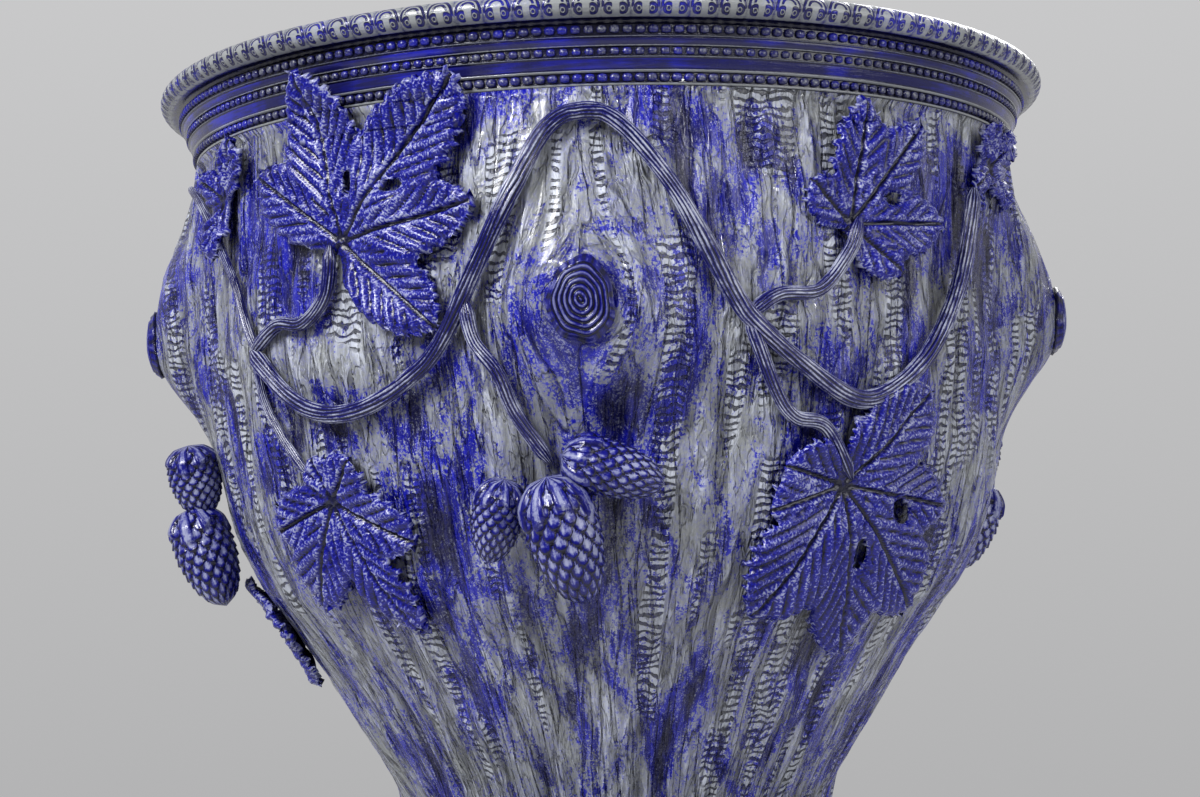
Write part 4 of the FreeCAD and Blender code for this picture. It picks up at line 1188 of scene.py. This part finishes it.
def cut_leaf(name, lobes, holes, cell):
    """Flat grid cut to a leaf's outline, with its margin moved onto the outline."""
    reach = max(length for _, length, _ in lobes) * 1.12
    count = int(2 * reach / cell) + 1
    piece = new_grid(name, count, count)
    line = np.linspace(-reach, reach, count)
    x, y = (grid.ravel() for grid in np.meshgrid(line, line))

    def margin(x, y):
        """Distance in from the margin of this leaf."""
        return leaf_margin(x, y, lobes, holes)

    inside = margin(x, y)
    reach_in, step = 0.7 * cell, 0.2
    near = np.abs(inside) < reach_in
    for _ in range(2):
        slope_x = (margin(x + step, y) - margin(x - step, y)) / (2 * step)
        slope_y = (margin(x, y + step) - margin(x, y - step)) / (2 * step)
        steep = np.maximum(slope_x**2 + slope_y**2, 0.25)
        move = np.clip(margin(x, y), -0.5 * cell, 0.5 * cell) * near / steep
        x, y = x - move * slope_x, y - move * slope_y
    mesh = piece.data
    mesh.vertices.foreach_set("co", np.stack([x, y, 0 * x], axis=1).astype(np.float32).ravel())
    bpy.ops.object.mode_set(mode="EDIT")
    bpy.ops.mesh.select_mode(type="VERT")
    bpy.ops.mesh.select_all(action="DESELECT")
    bpy.ops.object.mode_set(mode="OBJECT")
    mesh.vertices.foreach_set("select", inside < -reach_in)
    bpy.ops.object.mode_set(mode="EDIT")
    bpy.ops.mesh.delete(type="VERT")
    bpy.ops.mesh.select_all(action="SELECT")
    bpy.ops.mesh.delete_loose()
    bpy.ops.object.mode_set(mode="OBJECT")
    return piece


def leaf_relief(x, y, lobes, holes, seed):
    """Rise of a leaf over the wall in millimetres, its relief from -1 to 1 and its fine marks."""
    inside = leaf_margin(x, y, lobes, holes)
    _, (far, side, share, rib) = lobe_view(x, y, lobes)
    away = np.hypot(x, y)
    across = np.abs(side)
    place = np.stack([x, y, 0 * x], axis=-1)
    cockle = grain_noise(place / COCKLE_SIZE + [0, 0, seed], seed=31)
    frill = grain_noise(place / FRILL_SIZE + [0, 0, seed], seed=37)
    puff = np.abs(np.sin(math.pi * (rib + 0.12 * cockle))) ** 0.4
    ribbed = ease(0.06, 0.26, share) * ease(0.6, 2.6, across) * ease(0.0, 3.0, inside)
    vein = ridge(across, 0.0, 0.62) * ease(0.5, 3.0, away)
    lips = ridge(across, 1.7, 0.8) * ease(3.0, 8.0, away)
    margin = np.exp(-np.maximum(inside, 0.0) / 3.5)
    channel = 1.8 * ease(2.0, 13.0, across) + 1.4 * ease(0.65, 1.0, share)
    rise = (2.8 + 2.2 * ease(0.0, 28.0, away) + 1.5 * cockle * ease(4.0, 20.0, away) + channel
            + 3.0 * (puff - 0.5) * ribbed - 1.9 * vein + 0.9 * lips + 1.0 * frill * margin
            - 1.6 * np.exp(-np.maximum(inside, 0.0) / 0.8))
    # relief low in the veins and high on the rib puffs, lips and margin: painted shade in the veins,
    # painted highlight on the rest
    relief = (2.3 * (puff - 0.7) * ribbed - 2.4 * vein + 1.0 * lips
              - 0.25 * (1 - ribbed) * (1 - lips) + 1.2 * np.exp(-np.maximum(inside, 0.0) / 0.7))
    along_rib = far * math.cos(RIB_TURN) + across * math.sin(RIB_TURN)
    fine = np.stack([along_rib * MM, rib * RIB_PITCH * MM, share * 0], axis=-1)
    return np.clip(rise, 1.4, 9.5), np.clip(relief, -1, 1), fine


def leaf(wall, azimuth, z, lobes, holes, node, seed):
    """Leaf cut from a sheet of clay, veined and laid on the wall."""
    sizes = sprig_sizes()
    piece = cut_leaf(node + "_glazed", lobes, holes, sizes.leaf_cell / MM)
    mesh = piece.data
    flat = np.zeros(len(mesh.vertices) * 3, np.float32)
    mesh.vertices.foreach_get("co", flat)
    x, y, _ = flat.reshape(-1, 3).astype(float).T
    rise, relief, fine = leaf_relief(x, y, lobes, holes, seed)
    spot_z = z + y * MM
    sine = np.clip(x * MM / wall.cover(azimuth, spot_z), -0.95, 0.95)
    spot_az = azimuth + np.degrees(np.arcsin(sine))
    places = wall.points(spot_az, spot_z, rise * MM)
    mesh.vertices.foreach_set("co", places.astype(np.float32).ravel())
    put_marks(mesh, {"relief": relief, "fine": fine})
    mesh.update()
    bpy.ops.object.mode_set(mode="EDIT")
    bpy.ops.mesh.select_all(action="SELECT")
    bpy.ops.mesh.normals_make_consistent(inside=False)
    bpy.ops.object.mode_set(mode="OBJECT")
    middle = mesh.polygons[len(mesh.polygons) // 2]
    if middle.normal.dot(Vector(around(azimuth, 1.0, 0.0))) < 0:
        mesh.flip_normals()
    apply_modifier(piece, "SOLIDIFY", thickness=sizes.leaf_sheet, offset=-1.0, use_even_offset=False)
    bpy.ops.object.shade_smooth()
    dress(piece, node)


# ---------------------------------------------------------------- hop cones

HOPS = {
    # name: (azimuth, percent, lean from straight down, share of the large cone, plumpness)
    "hop_middle": (-5.4, 51.6, -14.0, 1.0, 1.0),
    "hop_left": (-12.8, 53.0, 15.0, 0.66, 1.06),
    "hop_right": (-0.8, 58.4, -72.0, 0.78, 1.0),
    "hop_side_upper": (-76.0, 57.6, 8.0, 0.68, 1.28),
    "hop_side_lower": (-76.0, 48.2, -6.0, 0.95, 1.05),
}
STAND_HOP = (44.0, 62.0, -8.0, 0.9, 1.0)
# Side of a hop cone: share of its length from the middle, share of its half width.
HOP_OUTLINE = [
    (-0.58, 0.0), (-0.5, 0.46), (-0.3, 0.82), (0.0, 1.0), (0.22, 0.93), (0.38, 0.55), (0.42, 0.0),
]
SCALE_ROWS = 12       # rows of scales along a cone
SCALES_ROUND = 13     # scales in one row
BRACTS = 8            # long bracts round the stalk


def scales_on(turn, share):
    """Overlapping scales: rise from 0 to 1, place across the top scale, distance from its edge."""
    rise = np.zeros(turn.shape)
    across, from_edge = np.zeros(turn.shape), np.zeros(turn.shape)
    for row in range(SCALE_ROWS + 1):
        root = 1.0 - 0.98 * (row - 0.6) / SCALE_ROWS
        p = 2.0 * ((turn / (2 * math.pi) * SCALES_ROUND + 0.5 * (row % 2)) % 1.0) - 1.0
        q = (root - share) * SCALE_ROWS / 1.7
        border = np.sqrt(np.clip(1.0 - q**4, 0, 1)) * 1.02 - np.abs(p)
        tongue = (q > 0) & (q < 1) & (border > 0)
        border = np.minimum(border, 1.5 * (np.clip(1.0 - p**2, 0, 1) ** 0.25 - q))
        height = 0.25 + 0.7 * q - 0.3 * p**2
        over = tongue & (height > rise)
        rise, across, from_edge = (np.where(over, new, old)
                                   for new, old in ((height, rise), (p, across), (border, from_edge)))
    return rise, across, from_edge


def hop(wall, azimuth, z, lean, share, plump, node):
    """Egg-shaped hop cone of overlapping scales, with long bracts from its stalk."""
    sizes = sprig_sizes()
    length, half = sizes.hop_length * share, sizes.hop_width * share / 2
    rows, columns = 112, 133
    turn, far = np.meshgrid(np.linspace(-math.pi, math.pi, columns), np.linspace(0.0, 1.0, rows))
    low, high = HOP_OUTLINE[0][0], HOP_OUTLINE[-1][0]
    span = 0.5 - 0.5 * np.cos(math.pi * far)
    station = low + (high - low) * span
    rise, across, from_edge = scales_on(turn, span)
    bract = 2.0 * ((turn / (2 * math.pi) * BRACTS) % 1.0) - 1.0
    bract_end = 0.72 + 0.07 * np.sin(turn * 3 + 1.0)
    strap = ease(0.75, 0.45, np.abs(bract)) * ease(bract_end - 0.05, bract_end + 0.05, span)
    over = np.maximum(rise, strap * 1.25)
    radius = half * plump * curve_through(HOP_OUTLINE, station) * (0.82 + 0.18 * over)
    radius = np.where((far > 0) & (far < 1), radius, 0.0)
    local = np.stack([radius * np.sin(turn), -radius * np.cos(turn), station * length], axis=-1)
    spot = wall.points(np.array(azimuth), np.array(z), np.array(0.0))
    normal = wall.points(np.array(azimuth), np.array(z), np.array(1.0)) - spot
    side = np.cross([0.0, 0.0, 1.0], normal)
    side /= np.linalg.norm(side)
    up = np.cross(normal, side)
    tilt = math.radians(lean)
    axis_x = side * math.cos(tilt) - up * math.sin(tilt)
    axis_z = side * math.sin(tilt) + up * math.cos(tilt)
    centre = spot + normal * (half + 2 * sizes.gap)
    places = centre + local[..., :1] * axis_x - local[..., 1:2] * normal + local[..., 2:] * axis_z
    # relief low at the scales' and bracts' edges and high in their middles: painted shade along the edges
    # and under each tip, painted highlight in the middles
    groove = np.where(strap > 0.5, 1.1 - 2.4 * np.abs(bract), 3.0 * from_edge - 0.95)
    relief = np.clip(groove, -1, 0.9)
    fine = np.stack([across * 3.0 * MM * share, station * length * 0.3, turn * 0], axis=-1)
    dress(shaped_grid(node + "_glazed", places, {"relief": relief, "fine": fine}), node)


# ---------------------------------------------------------------- stage

FLOOR_RADIUS = 2.0
FLOOR_THICKNESS = 20.0 * MM
FLOOR_DROP = 0.2 * MM     # between the stand and the floor, so that no two faces meet


def stage_floor():
    """Plain pale floor."""
    bpy.ops.object.select_all(action="DESELECT")
    middle = -FLOOR_THICKNESS / 2 - FLOOR_DROP
    bpy.ops.mesh.primitive_cylinder_add(
        vertices=96, radius=FLOOR_RADIUS, depth=FLOOR_THICKNESS, location=(0, 0, middle))
    floor = bpy.context.object
    floor.name = "stage_floor"
    paint = Glaze("floor_paint")
    cloud = paint.noise(paint.place(), 3.0, 3.0, 0.5)
    paint.put(paint.shader.inputs["Base Color"], paint.mix(cloud, srgb(196, 196, 197), srgb(204, 204, 205)))
    paint.shader.inputs["Roughness"].default_value = 0.7
    floor.data.materials.append(paint.material)


LIGHT_AIM = (0.0, 0.0, 0.75)
LIGHTS = [
    # name, place, size, power in watts
    ("key", (-1.3, -1.5, 2.1), 0.7, 60.0),
    ("fill", (1.7, -1.2, 1.2), 1.2, 17.0),
    ("back", (1.2, 1.8, 2.2), 1.0, 24.0),
    ("sparkle_left", (-0.7, -1.5, 1.5), 0.07, 5.0),
    ("sparkle_right", (0.6, -1.6, 1.4), 0.07, 3.0),
]


def stage_light(name, place, size, power):
    """Square soft light aimed at the pot."""
    light = bpy.data.lights.new(name, "AREA")
    light.size = size
    light.energy = power
    lamp = bpy.data.objects.new(name, light)
    lamp.location = place
    lamp.rotation_euler = (Vector(LIGHT_AIM) - Vector(place)).to_track_quat("-Z", "Y").to_euler()
    bpy.context.scene.collection.objects.link(lamp)


ROOM_LOW = srgb(172, 172, 173)
ROOM_HIGH = srgb(204, 204, 205)
ROOM_TURN = 0.35      # sine of the angle, down and up, between which the low grey turns to the high
ROOM_DEPTH = 0.4      # sine of the angle, front and back, between which dim turns to pale
ROOM_DIM = 0.36       # strength behind the viewer


def stage_world():
    """Grey room, dim behind the viewer, with a pale backdrop that darkens a little downwards."""
    world = bpy.data.worlds.new("studio")
    bpy.context.scene.world = world
    world.use_nodes = True
    tree = world.node_tree
    background = tree.nodes["Background"]
    place = tree.nodes.new("ShaderNodeTexCoord")
    split = tree.nodes.new("ShaderNodeSeparateXYZ")
    tree.links.new(place.outputs["Generated"], split.inputs[0])

    def share_of(axis, reach):
        """Node that goes from 0 to 1 as an axis of the direction goes from -reach to reach."""
        share = tree.nodes.new("ShaderNodeMapRange")
        share.inputs["From Min"].default_value = -reach
        share.inputs["From Max"].default_value = reach
        tree.links.new(split.outputs[axis], share.inputs["Value"])
        return share

    ramp = tree.nodes.new("ShaderNodeValToRGB")
    for element, grey in zip(ramp.color_ramp.elements, (ROOM_LOW, ROOM_HIGH)):
        element.color = (*grey, 1.0)
    tree.links.new(share_of("Z", ROOM_TURN).outputs[0], ramp.inputs[0])
    tree.links.new(ramp.outputs[0], background.inputs["Color"])
    depth = share_of("Y", ROOM_DEPTH)
    depth.inputs["To Min"].default_value = ROOM_DIM
    tree.links.new(depth.outputs[0], background.inputs["Strength"])


LENS, SENSOR = 48.0, 36.0
CAMERA_PLACE = (-0.004, -0.806, 0.7851)
CAMERA_PITCH = 1.6    # degrees above level
CAMERA_ROLL = -1.45   # degrees


def stage_camera():
    """Camera at the picture's place and angle."""
    data = bpy.data.cameras.new("camera")
    data.lens = LENS
    data.sensor_width = SENSOR
    data.clip_start = 0.01
    camera = bpy.data.objects.new("camera", data)
    bpy.context.scene.collection.objects.link(camera)
    tilt = Matrix.Rotation(math.radians(90.0 + CAMERA_PITCH), 4, "X")
    camera.matrix_world = (Matrix.Translation(CAMERA_PLACE) @ tilt
                           @ Matrix.Rotation(math.radians(CAMERA_ROLL), 4, "Z"))
    bpy.context.scene.camera = camera


# ---------------------------------------------------------------- operators

class JARDINIERE_OT_pot_trunk(bpy.types.Operator):
    """Model the pot's barked trunk"""

    bl_idname = "jardiniere.pot_trunk"
    bl_label = "Pot Trunk"

    def execute(self, context):
        sizes = pot_sizes()

        def inside(z):
            return pot_profile(np.maximum(z, POT_BASE + sizes.waist_height)) - sizes.wall
        places, marks = trunk_shell(pot_wall(), inside, columns=641, rows=138, crowding=0.22)
        dress(shaped_grid("pot_body_glazed", places, marks), "pot_body")
        clearance, bevel = 0.3, 1.0
        edge = (sizes.waist_radius - sizes.wall) / MM - clearance
        low = sizes.foot_height / MM
        high = low + sizes.floor / MM
        slab = [(radius, height, 0, 0) for radius, height in (
            (0.01, low), (edge, low), (edge, high - bevel), (edge - bevel, high), (0.01, high))]
        dress(turned("pot_floor_glazed", lifted(slab, POT_BASE), 121), "pot_floor")
        return {"FINISHED"}


class JARDINIERE_OT_stand_trunk(bpy.types.Operator):
    """Model the stand's barked trunk"""

    bl_idname = "jardiniere.stand_trunk"
    bl_label = "Stand Trunk"

    def execute(self, context):
        def inside(z):
            return stand_surface(STAND_BURLS["front"] + 90.0, z) - stand_sizes().wall
        places, marks = trunk_shell(stand_wall(), inside, columns=401, rows=210, crowding=0.1)
        dress(shaped_grid("stand_trunk_glazed", places, marks), "stand_trunk")
        return {"FINISHED"}


class JARDINIERE_OT_mouldings(bpy.types.Operator):
    """Turn the collar, the stamped roll, the feet and the stand's top"""

    bl_idname = "jardiniere.mouldings"
    bl_label = "Mouldings"

    def execute(self, context):
        collar()
        roll()
        feet_and_top()
        return {"FINISHED"}


class JARDINIERE_OT_knots(bpy.types.Operator):
    """Set a ring knot on each burl"""

    bl_idname = "jardiniere.knots"
    bl_label = "Ring Knots"

    def execute(self, context):
        for side, azimuth in POT_BURLS.items():
            knot(pot_wall(), azimuth, POT_BASE + pot_sizes().burl_height, "knot_" + side)
        for side, azimuth in STAND_BURLS.items():
            knot(stand_wall(), azimuth, stand_sizes().burl_height, "stand_knot_" + side)
        return {"FINISHED"}


class JARDINIERE_OT_vines(bpy.types.Operator):
    """Lay the vines, shoots and stalks"""

    bl_idname = "jardiniere.vines"
    bl_label = "Vines"

    def execute(self, context):
        sizes = sprig_sizes()
        for side, turn in SIDES:
            vine(pot_wall(), VINE, sizes.vine_width, turn, "vine_" + side)
            for name, (width, places) in STALKS.items():
                vine(pot_wall(), places, getattr(sizes, width), turn, "%s_%s" % (name, side))
            vine(stand_wall(), STAND_VINE, sizes.vine_width, turn, "stand_vine_" + side)
        return {"FINISHED"}


class JARDINIERE_OT_leaves(bpy.types.Operator):
    """Cut, vein and lay the leaves"""

    bl_idname = "jardiniere.leaves"
    bl_label = "Leaves"

    def execute(self, context):
        for wall, leaves in ((pot_wall(), LEAVES), (stand_wall(), STAND_LEAVES)):
            for side, turn in SIDES:
                for seed, (name, (azimuth, percent, lobes, holes)) in enumerate(leaves.items()):
                    leaf(wall, azimuth + turn, wall.height(percent), lobes, holes,
                         "%s_%s" % (name, side), seed)
        return {"FINISHED"}


class JARDINIERE_OT_hops(bpy.types.Operator):
    """Model the hop cones"""

    bl_idname = "jardiniere.hops"
    bl_label = "Hop Cones"

    def execute(self, context):
        for wall, hops in ((pot_wall(), HOPS), (stand_wall(), {"stand_hop": STAND_HOP})):
            for side, turn in SIDES:
                for name, (azimuth, percent, *shape) in hops.items():
                    hop(wall, azimuth + turn, wall.height(percent), *shape, "%s_%s" % (name, side))
        return {"FINISHED"}


class JARDINIERE_OT_stage(bpy.types.Operator):
    """Set the floor, the studio light and the camera"""

    bl_idname = "jardiniere.stage"
    bl_label = "Stage"

    def execute(self, context):
        context.scene.view_settings.view_transform = "Standard"
        stage_floor()
        stage_world()
        for light in LIGHTS:
            stage_light(*light)
        stage_camera()
        return {"FINISHED"}


class JARDINIERE_PT_build(bpy.types.Panel):
    """Build steps of the jardiniere"""

    bl_label = "Jardiniere on Stand"
    bl_idname = "JARDINIERE_PT_build"
    bl_space_type = "VIEW_3D"
    bl_region_type = "UI"
    bl_category = "Jardiniere"

    def draw(self, context):
        for group in GROUPS:
            box = self.layout.box()
            for name in GROUPS[group].__annotations__:
                box.prop(getattr(context.scene, group), name)
        for operator in OPERATORS:
            self.layout.operator(operator.bl_idname)


OPERATORS = [
    JARDINIERE_OT_pot_trunk,
    JARDINIERE_OT_stand_trunk,
    JARDINIERE_OT_mouldings,
    JARDINIERE_OT_knots,
    JARDINIERE_OT_vines,
    JARDINIERE_OT_leaves,
    JARDINIERE_OT_hops,
    JARDINIERE_OT_stage,
]


def register():
    """Register the sizes, the operators and the panel."""
    for name, group in GROUPS.items():
        bpy.utils.register_class(group)
        setattr(bpy.types.Scene, name, PointerProperty(type=group))
    for item in [*OPERATORS, JARDINIERE_PT_build]:
        bpy.utils.register_class(item)


def unregister():
    """Undo register."""
    for item in [JARDINIERE_PT_build, *reversed(OPERATORS)]:
        bpy.utils.unregister_class(item)
    for name, group in GROUPS.items():
        delattr(bpy.types.Scene, name)
        bpy.utils.unregister_class(group)


def main():
    """Build every piece."""
    register()
    for operator in OPERATORS:
        call = getattr(bpy.ops.jardiniere, operator.bl_idname.split(".")[1])
        call()


if __name__ == "__main__":
    main()
